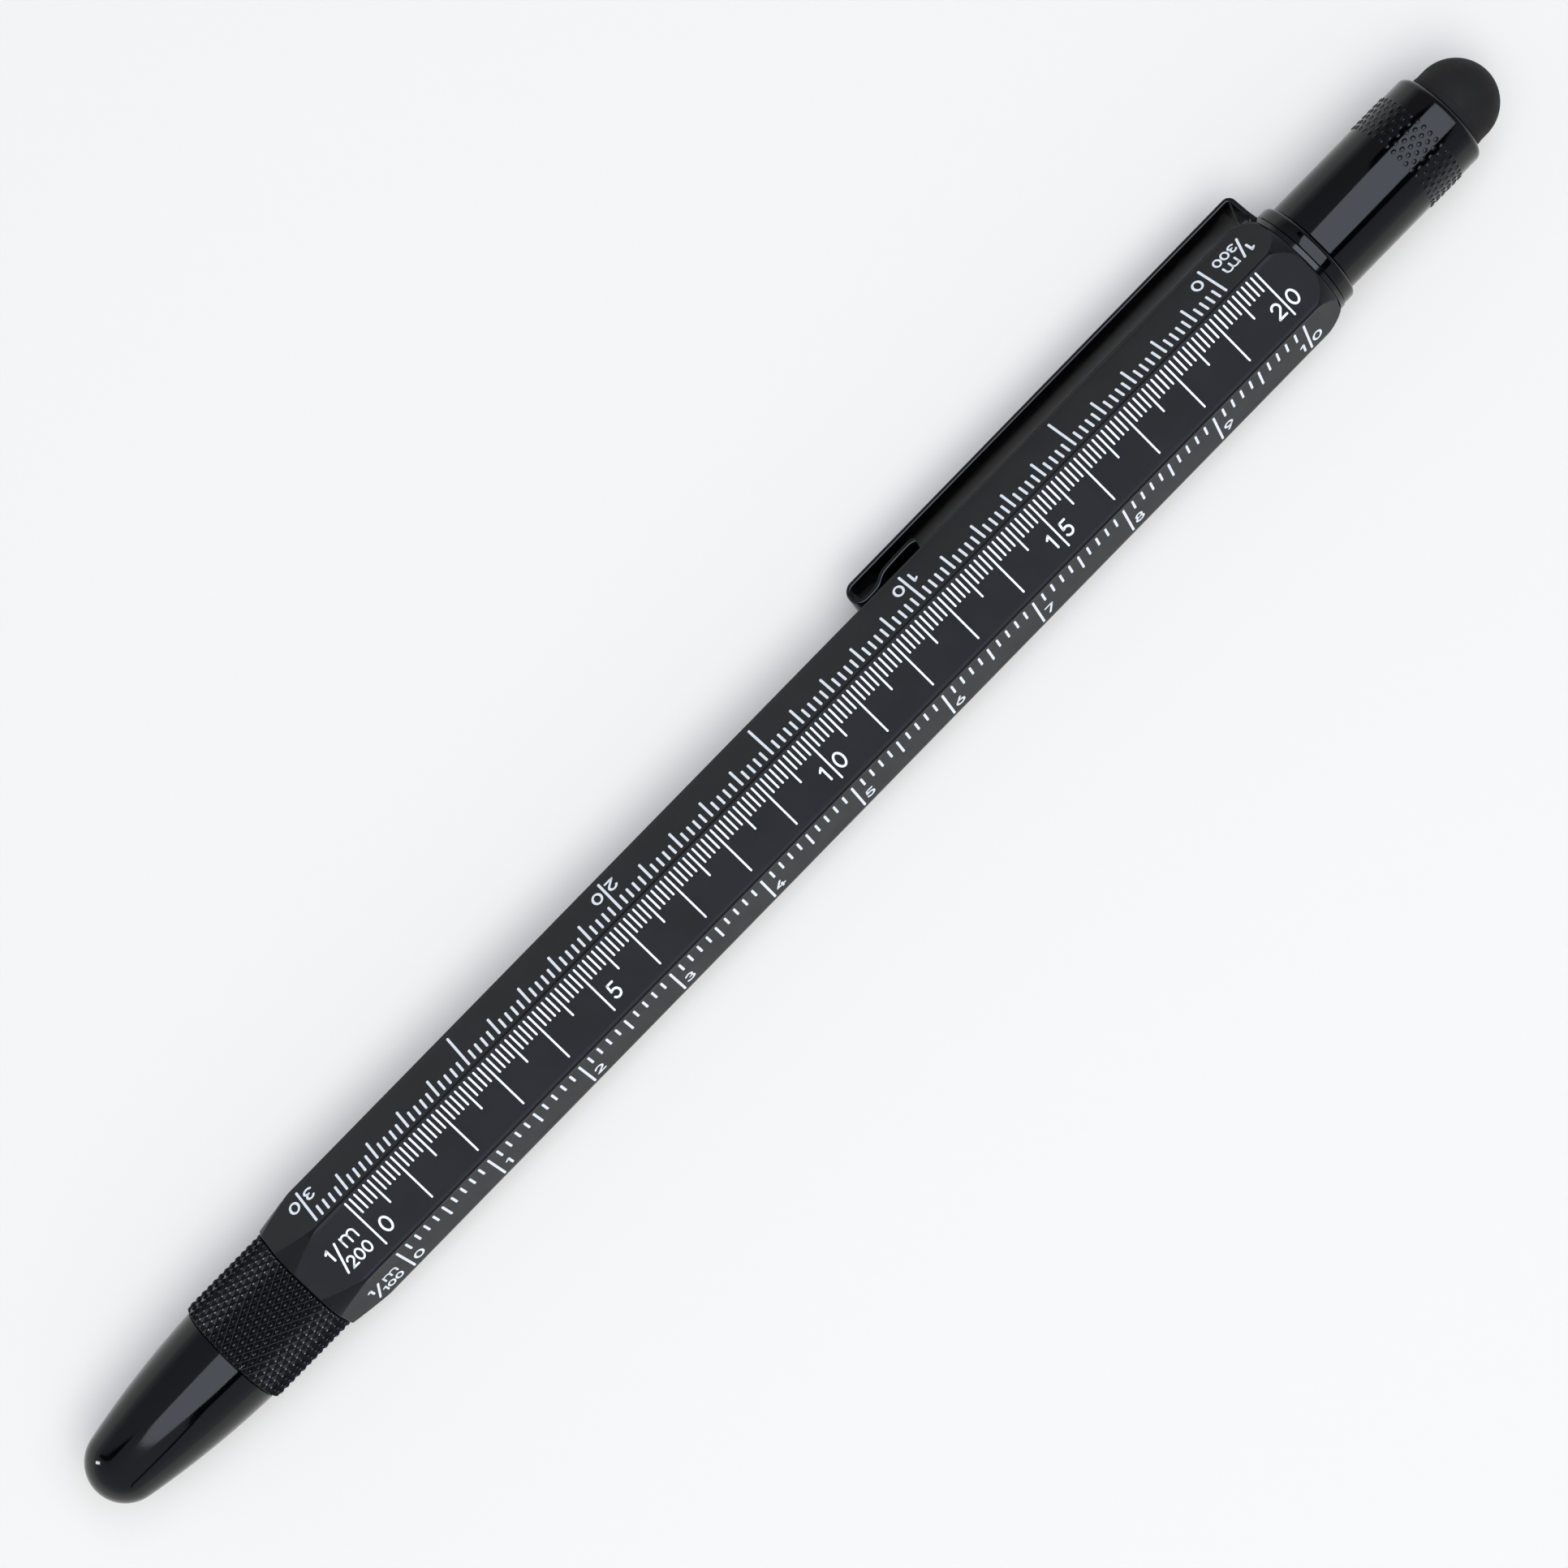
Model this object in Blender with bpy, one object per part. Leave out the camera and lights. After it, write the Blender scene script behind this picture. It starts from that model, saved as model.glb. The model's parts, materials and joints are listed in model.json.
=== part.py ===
"""Tool pen: six-sided scale barrel, capped rolling-ball end, spring clip, level and hidden screwdriver bit.

The pen lies as it does on a desk: +X runs from the cap's nose to the stylus, and the pen is rolled until the
clip's outer edge and the far corner of the barrel both touch the desk at Z = 0. Sizes are in metres.
"""
import math

import bmesh
import bpy
from mathutils import Matrix, Vector

MM = 0.001

# General clearances and mesh fineness
SEAM = 0.05 * MM
SLIP = 0.05 * MM
OVERRUN = 1.0 * MM
WELD = 0.001 * MM
FACE_SEGMENTS = 56
OUTER_SEGMENTS = 36
INNER_SEGMENTS = 20
SMALL_SEGMENTS = 12
ARC_STEPS = 6
FLANK_STEPS = 8
DOME_STEPS = 7
BORE_STEPS = 4
BALL_STEPS = 8
EDGE_STEPS = 4
LOOP_STEPS = 10
SEAT_STEPS = 12
SEAL_STEPS = 5
SMOOTH_ANGLE = math.radians(30)
SHARPEST_MITRE = math.radians(60)

# Cap: bullet shell, knurled mouth ring and sealing liner
CAP_SHELL_LENGTH = 14.95 * MM
CAP_SHOULDER_RADIUS = 4.58 * MM
CAP_FLANK_RADIUS = 81.8 * MM
CAP_FLANK_SETBACK = 3.06 * MM
CAP_WALL = 0.55 * MM
CAP_END_WALL = 1.90 * MM
CAP_END_CORNER = 0.80 * MM
CAP_SPIGOT_RADIUS = 4.35 * MM
CAP_THREAD_BORE = 3.75 * MM
CAP_THREAD_LENGTH = 4.50 * MM
CAP_RELIEF_RADIUS = 3.95 * MM
KNURL_LENGTH = 8.15 * MM
KNURL_CREST_RADIUS = 4.97 * MM
KNURL_DEPTH = 0.17 * MM
KNURL_ROUND_PITCH = 0.678 * MM
KNURL_LONG_PITCH = 1.226 * MM
KNURL_END_BREAK = 0.40 * MM
LINER_WALL = 0.35 * MM
LINER_END_WALL = 0.45 * MM
LINER_MOUTH_SETBACK = 2.50 * MM

# Six-sided barrel
BARREL_LENGTH = 110.10 * MM
ACROSS_FLATS = 9.80 * MM
HEX_EDGE_BREAK = 0.08 * MM
BARREL_BORE = 3.90 * MM
PARTITION_THICKNESS = 2.40 * MM
CONE_FACE_RADIUS = 5.08 * MM
CONE_ANGLE = math.radians(8.3)
SHOULDER_CROWN = 5.70 * MM
SHOULDER_RADIUS = 5.46 * MM
SHOULDER_LENGTH = 2.75 * MM
SHOULDER_EDGE_BREAK = 0.11 * MM
COUNTERBORE_DEPTH = 1.10 * MM
COUNTERBORE_RADIUS = 4.35 * MM

# Clip: one folded strip whose washer is gripped under the collar
CLIP_ANGLE = math.radians(120)
CLIP_THICKNESS = 0.40 * MM
CLIP_WIDTH = 5.34 * MM
CLIP_WASHER_RADIUS = 4.90 * MM
CLIP_LENGTH = 43.50 * MM
CLIP_ROOT_HEIGHT = 7.24 * MM
CLIP_LOOP_HEIGHT = 7.12 * MM
CLIP_BEND_RADIUS = 0.32 * MM
CLIP_SEAT_GAP = 0.10 * MM
CLIP_RETURN_LENGTH = 5.90 * MM
CLIP_RETURN_RISE = 0.72 * MM
CLIP_RETURN_SHARES = ((0.14, 0.0), (0.24, 0.14), (0.36, 0.72), (0.46, 0.90), (0.86, 1.0),
                      (0.94, 0.93), (1.0, 0.72))

# Collar that screws into the barrel, with the spigot that carries the tool cover
COLLAR_LENGTH = 1.25 * MM
COLLAR_RADIUS = 4.80 * MM
COLLAR_EDGE_RADIUS = 0.35 * MM
COLLAR_SLEEVE_LENGTH = 12.00 * MM
COLLAR_BORE = 2.75 * MM
SPIGOT_LENGTH = 4.95 * MM
SPIGOT_RADIUS = 3.40 * MM
SPIGOT_GROOVE_RADIUS = 2.99 * MM
SPIGOT_GROOVE_WIDTH = 0.70 * MM
SPIGOT_GROOVE_SETBACK = 1.00 * MM
COVER_ORING_SECTION = 0.25 * MM

# Tool cover and stylus
COVER_LENGTH = 14.70 * MM
COVER_RADIUS = 4.32 * MM
COVER_BORE = 3.60 * MM
COVER_END_WALL = 1.90 * MM
COVER_EDGE_RADIUS = 0.55 * MM
STYLUS_LENGTH = 4.92 * MM
STYLUS_RADIUS = 3.50 * MM
STYLUS_FOOT_RADIUS = 3.54 * MM
STYLUS_FOOT_LENGTH = 0.55 * MM
STYLUS_WALL = 0.95 * MM
STYLUS_STEM_RADIUS = 1.30 * MM

# Bit holder, magnet and double-ended bit
HOLDER_RADIUS = 2.70 * MM
HOLDER_FLANGE_RADIUS = 3.40 * MM
HOLDER_FLANGE_LENGTH = 1.95 * MM
HOLDER_FLOOR = 1.50 * MM
HOLDER_PROUD = 0.20 * MM
BIT_ACROSS_FLATS = 4.00 * MM
BIT_LENGTH = 24.80 * MM
BIT_NECK_LENGTH = 5.00 * MM
BIT_NECK_RADIUS = 1.55 * MM
BIT_CROSS_LENGTH = 2.40 * MM
BIT_CROSS_WING = 0.75 * MM
BIT_CROSS_TIP_RADIUS = 0.50 * MM
BIT_BLADE_THICKNESS = 0.60 * MM
BIT_BLADE_LENGTH = 2.60 * MM
BIT_EDGE_BREAK = 0.10 * MM
MAGNET_RADIUS = 1.90 * MM
MAGNET_LENGTH = 1.50 * MM

# Grip section, feed, tip and ball
SECTION_TAIL_LENGTH = 9.10 * MM
SECTION_TAIL_BORE = 3.45 * MM
SECTION_FLANGE_LENGTH = 1.05 * MM
SECTION_THREAD_LENGTH = 4.20 * MM
SECTION_GROOVE_RADIUS = 3.10 * MM
SECTION_GROOVE_WIDTH = 0.80 * MM
SECTION_GRIP_RADIUS = 3.45 * MM
SECTION_NOSE_RADIUS = 2.75 * MM
SECTION_REACH = 13.85 * MM
SECTION_NOSE_WALL = 1.50 * MM
SECTION_ORING_SECTION = 0.27 * MM
FEED_RADIUS = 1.95 * MM
FEED_CORE_RADIUS = 1.45 * MM
FEED_FIN_LENGTH = 0.90 * MM
FEED_FIN_COUNT = 5
FEED_COLLAR_LENGTH = 1.40 * MM
SPIKE_RADIUS = 0.80 * MM
SPIKE_LENGTH = 4.20 * MM
TIP_RADIUS = 2.40 * MM
TIP_LENGTH = 5.60 * MM
TIP_FACE_RADIUS = 0.62 * MM
TIP_STEM_RADIUS = 1.20 * MM
BALL_RADIUS = 0.42 * MM
BALL_PROUD = 0.17 * MM
BALL_SLIP = 0.04 * MM

# Ink cartridge
CARTRIDGE_RADIUS = 3.40 * MM
CARTRIDGE_REAR_GAP = 14.60 * MM
CARTRIDGE_WALL = 0.40 * MM
CARTRIDGE_NECK_RADIUS = 2.20 * MM
CARTRIDGE_NECK_LENGTH = 5.00 * MM
CARTRIDGE_EDGE = 0.60 * MM

# Spirit level behind the slot in the hidden face
LEVEL_REAR_GAP = 15.45 * MM
LEVEL_SLOT_LENGTH = 16.00 * MM
LEVEL_SLOT_WIDTH = 3.40 * MM
VIAL_SETBACK = 2.00 * MM
VIAL_RADIUS = 2.30 * MM
VIAL_BORE = 1.85 * MM
VIAL_OFFSET = 1.52 * MM
VIAL_PLUG_LENGTH = 1.50 * MM
CRADLE_LENGTH = 26.00 * MM
CRADLE_TOP = 2.60 * MM
BUBBLE_LENGTH = 4.40 * MM
BUBBLE_DEPTH = 0.85 * MM
BUBBLE_TRAVEL = 3.00 * MM

# Places along the pen, from the nose to the stylus
OVERALL_LENGTH = (CAP_SHELL_LENGTH + KNURL_LENGTH + BARREL_LENGTH + CLIP_THICKNESS
                  + COLLAR_LENGTH + COVER_LENGTH + STYLUS_LENGTH + 5 * SEAM)
NOSE_X = -OVERALL_LENGTH / 2
RING_X = NOSE_X + CAP_SHELL_LENGTH
CAP_MOUTH_X = RING_X + KNURL_LENGTH
BARREL_X = CAP_MOUTH_X + SEAM
BARREL_END_X = BARREL_X + BARREL_LENGTH
WASHER_X = BARREL_END_X + SEAM
COLLAR_X = WASHER_X + CLIP_THICKNESS + SEAM
COLLAR_END_X = COLLAR_X + COLLAR_LENGTH
COVER_X = COLLAR_END_X + SEAM
COVER_END_X = COVER_X + COVER_LENGTH
STYLUS_X = COVER_END_X + SEAM
SPIGOT_END_X = COLLAR_END_X + SPIGOT_LENGTH
SLEEVE_X = BARREL_END_X - COLLAR_SLEEVE_LENGTH
HOLDER_X = SLEEVE_X - SEAM - HOLDER_FLANGE_LENGTH
SOCKET_FLOOR_X = HOLDER_X + HOLDER_FLOOR
BIT_X = SOCKET_FLOOR_X + SEAM + MAGNET_LENGTH + SEAM
SECTION_END_X = BARREL_X + SECTION_TAIL_LENGTH
SECTION_NOSE_X = BARREL_X - SECTION_REACH
SECTION_SEAT_X = BARREL_X + SECTION_TAIL_LENGTH / 2
TIP_X = SECTION_NOSE_X - SEAM
TIP_FACE_X = TIP_X - TIP_LENGTH
BALL_X = TIP_FACE_X + BALL_RADIUS - BALL_PROUD
CARTRIDGE_X = SECTION_SEAT_X + SEAM
FEED_X = SECTION_NOSE_X + SECTION_NOSE_WALL + SEAM
FEED_END_X = CARTRIDGE_X - CARTRIDGE_NECK_LENGTH - SEAM
LEVEL_X = HOLDER_X - LEVEL_REAR_GAP - CRADLE_LENGTH / 2
PARTITION_END_X = LEVEL_X - CRADLE_LENGTH / 2 - SLIP
PARTITION_X = PARTITION_END_X - PARTITION_THICKNESS
CARTRIDGE_END_X = PARTITION_X - CARTRIDGE_REAR_GAP
VIAL_LENGTH = CRADLE_LENGTH - 2 * VIAL_SETBACK
HEX_CORNER = ACROSS_FLATS / math.sqrt(3)

# The cap's flank is a long arc, and its nose is the ball that meets that arc without a step
CAP_CROWN_X = RING_X + CAP_FLANK_SETBACK
CAP_FLANK_CENTRE = CAP_SHOULDER_RADIUS - math.sqrt(CAP_FLANK_RADIUS ** 2 - CAP_FLANK_SETBACK ** 2)
CAP_CROWN_RUN = CAP_CROWN_X - NOSE_X
CAP_NOSE_RADIUS = ((CAP_FLANK_RADIUS ** 2 - CAP_FLANK_CENTRE ** 2 - CAP_CROWN_RUN ** 2)
                   / (2 * (CAP_FLANK_RADIUS - CAP_CROWN_RUN)))

# Finishes as colour, roughness and metallic value
SATIN_BLACK = ((0.020, 0.020, 0.023), 0.45, 0.0)
GLOSS_BLACK = ((0.006, 0.006, 0.007), 0.12, 0.0)
KNURL_BLACK = ((0.012, 0.012, 0.014), 0.38, 0.0)
STYLUS_BLACK = ((0.010, 0.010, 0.011), 0.70, 0.0)
SEAL_BLACK = ((0.015, 0.015, 0.015), 0.60, 0.0)
MOULDED_GREY = ((0.08, 0.08, 0.085), 0.50, 0.0)
MOULDED_WHITE = ((0.75, 0.75, 0.72), 0.45, 0.0)
BRIGHT_STEEL = ((0.62, 0.62, 0.63), 0.25, 1.0)
DARK_STEEL = ((0.22, 0.22, 0.23), 0.35, 1.0)
CLEAR_VIAL = ((0.80, 0.85, 0.82), 0.08, 0.0)
LEVEL_GREEN = ((0.55, 0.80, 0.10), 0.10, 0.0)
BUBBLE_PALE = ((0.90, 0.95, 0.85), 0.05, 0.0)
INK_CLEAR = ((0.10, 0.13, 0.30), 0.30, 0.0)


def clear_scene():
    """Empty the scene and keep the file that this script runs from."""
    for old in list(bpy.data.objects):
        bpy.data.objects.remove(old, do_unlink=True)


def object_from(name, bm):
    """Turn a bmesh into a linked object with outward faces and smooth round sides."""
    bmesh.ops.remove_doubles(bm, verts=bm.verts, dist=WELD)
    bmesh.ops.recalc_face_normals(bm, faces=bm.faces)
    mesh = bpy.data.meshes.new(name)
    bm.to_mesh(mesh)
    bm.free()
    mesh.shade_smooth()
    mesh.set_sharp_from_angle(angle=SMOOTH_ANGLE)
    piece = bpy.data.objects.new(name, mesh)
    bpy.context.scene.collection.objects.link(piece)
    return piece


def finish(piece, look):
    """Give a piece its own Principled material."""
    colour, roughness, metallic = look
    material = bpy.data.materials.new(piece.name + "_finish")
    material.use_nodes = True
    shader = material.node_tree.nodes["Principled BSDF"]
    shader.inputs["Base Color"].default_value = (*colour, 1.0)
    shader.inputs["Roughness"].default_value = roughness
    shader.inputs["Metallic"].default_value = metallic
    piece.data.materials.append(material)
    return piece


def arc(centre, radius, start, end, steps=ARC_STEPS):
    """Points on an arc as (along, out), with angles in degrees from +X towards outwards."""
    angles = [math.radians(start + (end - start) * step / steps) for step in range(steps + 1)]
    return [(centre[0] + radius * math.cos(a), centre[1] + radius * math.sin(a)) for a in angles]


def turned(name, outline, segments=OUTER_SEGMENTS):
    """Revolve (x, radius) points about the pen's axis; a section that starts off the axis is closed."""
    bm = bmesh.new()
    verts = [bm.verts.new((x, 0.0, radius)) for x, radius in outline]
    pairs = list(zip(verts, verts[1:]))
    if outline[0][1] > WELD:
        pairs.append((verts[-1], verts[0]))
    edges = [bm.edges.new(pair) for pair in pairs]
    bmesh.ops.spin(bm, geom=verts + edges, cent=(0, 0, 0), axis=(1, 0, 0), dvec=(0, 0, 0),
                   angle=math.tau, steps=segments, use_merge=True, use_duplicate=False)
    return object_from(name, bm)


def prism(name, corners, travel):
    """Extrude one flat outline of 3-D corners along a vector."""
    bm = bmesh.new()
    base = bm.faces.new([bm.verts.new(corner) for corner in corners])
    swept = bmesh.ops.extrude_face_region(bm, geom=[base])
    moved = [item for item in swept["geom"] if isinstance(item, bmesh.types.BMVert)]
    bmesh.ops.translate(bm, verts=moved, vec=travel)
    return object_from(name, bm)


def combine(piece, other, operation):
    """Cut, join or intersect with a guide that stays out of the built part."""
    step = piece.modifiers.new(other.name, "BOOLEAN")
    step.operation = operation
    step.solver = "EXACT"
    step.object = other
    other.hide_render = True
    other.display_type = "WIRE"
    other.parent = piece


def carrier(name, parent, place=(0.0, 0.0, 0.0), roll=0.0):
    """Empty on a joint's axis, or on a side of the pen."""
    empty = bpy.data.objects.new(name, None)
    bpy.context.scene.collection.objects.link(empty)
    empty.parent = parent
    empty.location = place
    empty.rotation_euler = (roll, 0.0, 0.0)
    return empty


def mount_on(piece, empty):
    """Hang a piece, drawn in the pen's own axes, on an empty that may lie away from the origin."""
    piece.data.transform(Matrix.Translation(-empty.location))
    for guide in piece.children_recursive:
        guide.data.transform(Matrix.Translation(-empty.location))
    piece.parent = empty
    return piece


def around(angle, radius):
    """Cross-section point (y, z) at an angle from the scale face towards the clip's side."""
    return radius * math.sin(angle), radius * math.cos(angle)


def rolled(point, roll):
    """Cross-section point after the pen has rolled about its axis."""
    y, z = point
    return y * math.cos(roll) - z * math.sin(roll), y * math.sin(roll) + z * math.cos(roll)


def clip_edge(side):
    """Outer corner of the clip at its root, on its upper (+1) or lower (-1) side."""
    out_y, out_z = around(CLIP_ANGLE, CLIP_ROOT_HEIGHT)
    across_y, across_z = around(CLIP_ANGLE - math.pi / 2, side * CLIP_WIDTH / 2)
    return out_y + across_y, out_z + across_z


def rest_roll():
    """Roll at which the clip's lower edge and the far lower corner of the barrel are level."""
    corner = around(math.radians(-150), HEX_CORNER - HEX_EDGE_BREAK / 2)
    edge = clip_edge(-1)
    return math.atan2(corner[1] - edge[1], edge[0] - corner[0])


def rest_place():
    """Place of the pen's axis over the middle of its footprint."""
    roll = rest_roll()
    lowest = rolled(clip_edge(-1), roll)[1]
    widest = rolled(clip_edge(1), roll)[0]
    narrow = rolled(around(math.radians(-90), HEX_CORNER - HEX_EDGE_BREAK / 2), roll)[0]
    return 0.0, -(widest + narrow) / 2, -lowest


def cap_flank(x):
    """Outer radius of the bullet cap behind its nose."""
    return CAP_FLANK_CENTRE + math.sqrt(CAP_FLANK_RADIUS ** 2 - (x - CAP_CROWN_X) ** 2)


def cap_bore(x):
    """Inner radius of the cap, one wall inside its flank."""
    return min(cap_flank(x) - CAP_WALL, CAP_RELIEF_RADIUS)


def cap_stations(start, end, steps):
    """Evenly spaced places along the cap."""
    return [start + (end - start) * step / steps for step in range(steps + 1)]


def cap_shell():
    """Bullet shell with a spigot that passes under the knurled ring."""
    shoulder = RING_X - SEAM
    nose_x = NOSE_X + CAP_NOSE_RADIUS
    meeting = math.degrees(math.atan2(-CAP_FLANK_CENTRE, nose_x - CAP_CROWN_X))
    nose = arc((nose_x, 0.0), CAP_NOSE_RADIUS, 180, meeting)
    flank = [(x, cap_flank(x)) for x in cap_stations(nose[-1][0], shoulder, FLANK_STEPS)[1:]]
    spigot_end = CAP_MOUTH_X - SEAM
    mouth = [(shoulder, CAP_SPIGOT_RADIUS), (spigot_end, CAP_SPIGOT_RADIUS), (spigot_end, CAP_THREAD_BORE)]
    relief_x = spigot_end - CAP_THREAD_LENGTH
    relief = [(relief_x, CAP_THREAD_BORE), (relief_x, CAP_RELIEF_RADIUS)]
    end_x = NOSE_X + CAP_END_WALL
    bore = [(x, cap_bore(x)) for x in cap_stations(RING_X, end_x + CAP_END_CORNER, BORE_STEPS)]
    end = [(end_x, cap_bore(end_x + CAP_END_CORNER) - CAP_END_CORNER), (end_x, 0.0)]
    return turned("cap_shell", nose + flank + mouth + relief + bore + end)


def cap_liner():
    """Thin cup that seals round the writing tip."""
    mouth_x = RING_X - LINER_MOUTH_SETBACK
    start = NOSE_X + CAP_END_WALL + SLIP
    corner = start + CAP_END_CORNER
    outer = [(start, cap_bore(corner) - CAP_END_CORNER - SLIP)]
    outer += [(x, cap_bore(x) - SLIP) for x in cap_stations(corner, mouth_x, BORE_STEPS)]
    inner = [(x, cap_bore(x) - SLIP - LINER_WALL)
             for x in cap_stations(mouth_x, corner + LINER_END_WALL, BORE_STEPS)]
    floor = start + LINER_END_WALL
    inner += [(floor, cap_bore(corner) - CAP_END_CORNER - LINER_WALL), (floor, 0.0)]
    return turned("cap_liner", [(start, 0.0)] + outer + inner, INNER_SEGMENTS)


def knurl_radius(row, column, x, mean_crest):
    """Height of one lattice point: crests and valleys alternate, and both fall off at the broken ends."""
    height = mean_crest if (row + column) % 2 == 0 else mean_crest - KNURL_DEPTH
    to_end = min(x - RING_X, CAP_MOUTH_X - x)
    return min(height, KNURL_CREST_RADIUS - KNURL_END_BREAK + to_end)


def knurled_ring():
    """Sleeve with a true diamond knurl: pyramids on a staggered lattice, two triangles to a cell."""
    columns = 2 * round(math.tau * KNURL_CREST_RADIUS / KNURL_ROUND_PITCH)
    rows = round(2 * (KNURL_LENGTH - 2 * KNURL_END_BREAK) / KNURL_LONG_PITCH)
    first = RING_X + KNURL_END_BREAK
    spacing = (KNURL_LENGTH - 2 * KNURL_END_BREAK) / rows
    places = [RING_X] + [first + row * spacing for row in range(rows + 1)] + [CAP_MOUTH_X]
    bm = bmesh.new()
    rings = []
    for row, x in enumerate(places):
        radii = [knurl_radius(row, column, x, KNURL_CREST_RADIUS) for column in range(columns)]
        rings.append(lattice_ring(bm, x, radii))
    for row, (front, rear) in enumerate(zip(rings, rings[1:])):
        for column in range(columns):
            after = (column + 1) % columns
            corners = (front[column], front[after], rear[after], rear[column])
            split = corners if (row + column) % 2 else corners[1:] + corners[:1]
            bm.faces.new((split[0], split[1], split[2]))
            bm.faces.new((split[0], split[2], split[3]))
    bore = CAP_SPIGOT_RADIUS + SLIP
    bore_front = lattice_ring(bm, RING_X, [bore] * columns)
    bore_rear = lattice_ring(bm, CAP_MOUTH_X, [bore] * columns)
    loops = (rings[-1], bore_rear, bore_front, rings[0])
    for near, far in zip(loops, loops[1:]):
        for column in range(columns):
            after = (column + 1) % columns
            bm.faces.new((near[column], near[after], far[after], far[column]))
    return object_from("knurled_ring", bm)


def lattice_ring(bm, x, radii):
    """Ring of vertices at one place along the pen, each at its own radius."""
    count = len(radii)
    spots = [around(math.tau * index / count, radius) for index, radius in enumerate(radii)]
    return [bm.verts.new((x, y, z)) for y, z in spots]


def hex_corners(across_flats, edge_break, x):
    """Corners of a hexagon with flats at the scale face and every 60 degrees, its edges slightly broken."""
    corner = across_flats / math.sqrt(3)
    along_face = edge_break * math.cos(math.radians(60))
    half_break = edge_break * math.sin(math.radians(60))
    spots = []
    for index in range(6):
        angle = math.radians(30 + 60 * index)
        out_y, out_z = around(angle, corner - along_face)
        across_y, across_z = around(angle + math.pi / 2, half_break)
        spots.append((x, out_y - across_y, out_z - across_z))
        spots.append((x, out_y + across_y, out_z + across_z))
    return spots


def hex_barrel():
    """Bar turned to a front cone and a round rear shoulder, cut to six flats, drilled from both ends up to
    a partition that closes the ink chamber and seats the level, and slotted over the level."""
    cone_length = (SHOULDER_CROWN - CONE_FACE_RADIUS) / math.tan(CONE_ANGLE)
    arc_centre = (BARREL_END_X - SHOULDER_LENGTH, SHOULDER_CROWN - SHOULDER_RADIUS)
    lean = math.degrees(math.asin((SHOULDER_LENGTH - SHOULDER_EDGE_BREAK) / SHOULDER_RADIUS))
    shoulder = arc(arc_centre, SHOULDER_RADIUS, 90, 90 - lean)
    counterbore_x = BARREL_X + COUNTERBORE_DEPTH
    ink_bore = [(PARTITION_X, 0.0), (PARTITION_X, BARREL_BORE), (counterbore_x, BARREL_BORE)]
    ink_bore += [(counterbore_x, COUNTERBORE_RADIUS), (BARREL_X, COUNTERBORE_RADIUS)]
    outside = [(BARREL_X, CONE_FACE_RADIUS), (BARREL_X + cone_length, SHOULDER_CROWN)]
    outside += shoulder + [(BARREL_END_X, shoulder[-1][1] - SHOULDER_EDGE_BREAK)]
    tool_bore = [(BARREL_END_X, BARREL_BORE), (PARTITION_END_X, BARREL_BORE), (PARTITION_END_X, 0.0)]
    barrel = turned("hex_barrel", ink_bore + outside + tool_bore, FACE_SEGMENTS)
    flats = hex_corners(ACROSS_FLATS, HEX_EDGE_BREAK, BARREL_X - OVERRUN)
    combine(barrel, prism("barrel_flats", flats, (BARREL_LENGTH + 2 * OVERRUN, 0.0, 0.0)), "INTERSECT")
    combine(barrel, level_slot(), "DIFFERENCE")
    return barrel


def level_slot():
    """Round-ended slot through the face opposite the scale face."""
    radius = LEVEL_SLOT_WIDTH / 2
    run = LEVEL_SLOT_LENGTH / 2 - radius
    ends = arc((LEVEL_X + run, 0.0), radius, 90, -90) + arc((LEVEL_X - run, 0.0), radius, 270, 90)
    floor = -VIAL_OFFSET
    corners = [(x, y, floor) for x, y in ends]
    return prism("level_slot", corners, (0.0, 0.0, -(ACROSS_FLATS / 2 + OVERRUN + floor)))


def clip_ring():
    """Washer gripped between barrel and collar, with the tab that the strip grows from."""
    half = CLIP_WIDTH / 2
    tab_root = math.degrees(math.acos(half / CLIP_WASHER_RADIUS))
    rim = arc((0.0, 0.0), CLIP_WASHER_RADIUS, 180 - tab_root, 360 + tab_root, OUTER_SEGMENTS)
    tab_top = CLIP_WASHER_RADIUS + SEAM
    outline = rim + [(half, tab_top), (-half, tab_top)]
    corners = [(WASHER_X, across, out) for across, out in outline]
    ring = prism("clip_ring", corners, (CLIP_THICKNESS, 0.0, 0.0))
    bore = BARREL_BORE + SLIP
    eye = turned("clip_eye", plug_outline(WASHER_X - OVERRUN, WASHER_X + CLIP_THICKNESS + OVERRUN, bore))
    combine(ring, eye, "DIFFERENCE")
    return ring


def plug_outline(start, end, radius):
    """Section of a plain round plug between two places."""
    return [(start, 0.0), (start, radius), (end, radius), (end, 0.0)]


def clip_route():
    """Middle line of the folded strip as (x, height), from its root over the bend and round the loop."""
    half = CLIP_THICKNESS / 2
    tab_x = WASHER_X + half
    bend = CLIP_BEND_RADIUS + half
    root = CLIP_WASHER_RADIUS + 2 * SEAM
    loop_bottom = ACROSS_FLATS / 2 + CLIP_SEAT_GAP + half
    loop_top = CLIP_LOOP_HEIGHT - half
    radius = (loop_top - loop_bottom) / 2
    loop_x = WASHER_X + CLIP_THICKNESS - CLIP_LENGTH + radius + half
    route = [(tab_x, root)]
    route += arc((tab_x - bend, CLIP_ROOT_HEIGHT - half - bend), bend, 0, 90, EDGE_STEPS)
    route += arc((loop_x, loop_bottom + radius), radius, 90, 270, LOOP_STEPS)
    for along, rise in CLIP_RETURN_SHARES:
        route.append((loop_x + along * CLIP_RETURN_LENGTH, loop_bottom + rise * CLIP_RETURN_RISE))
    return route


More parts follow.
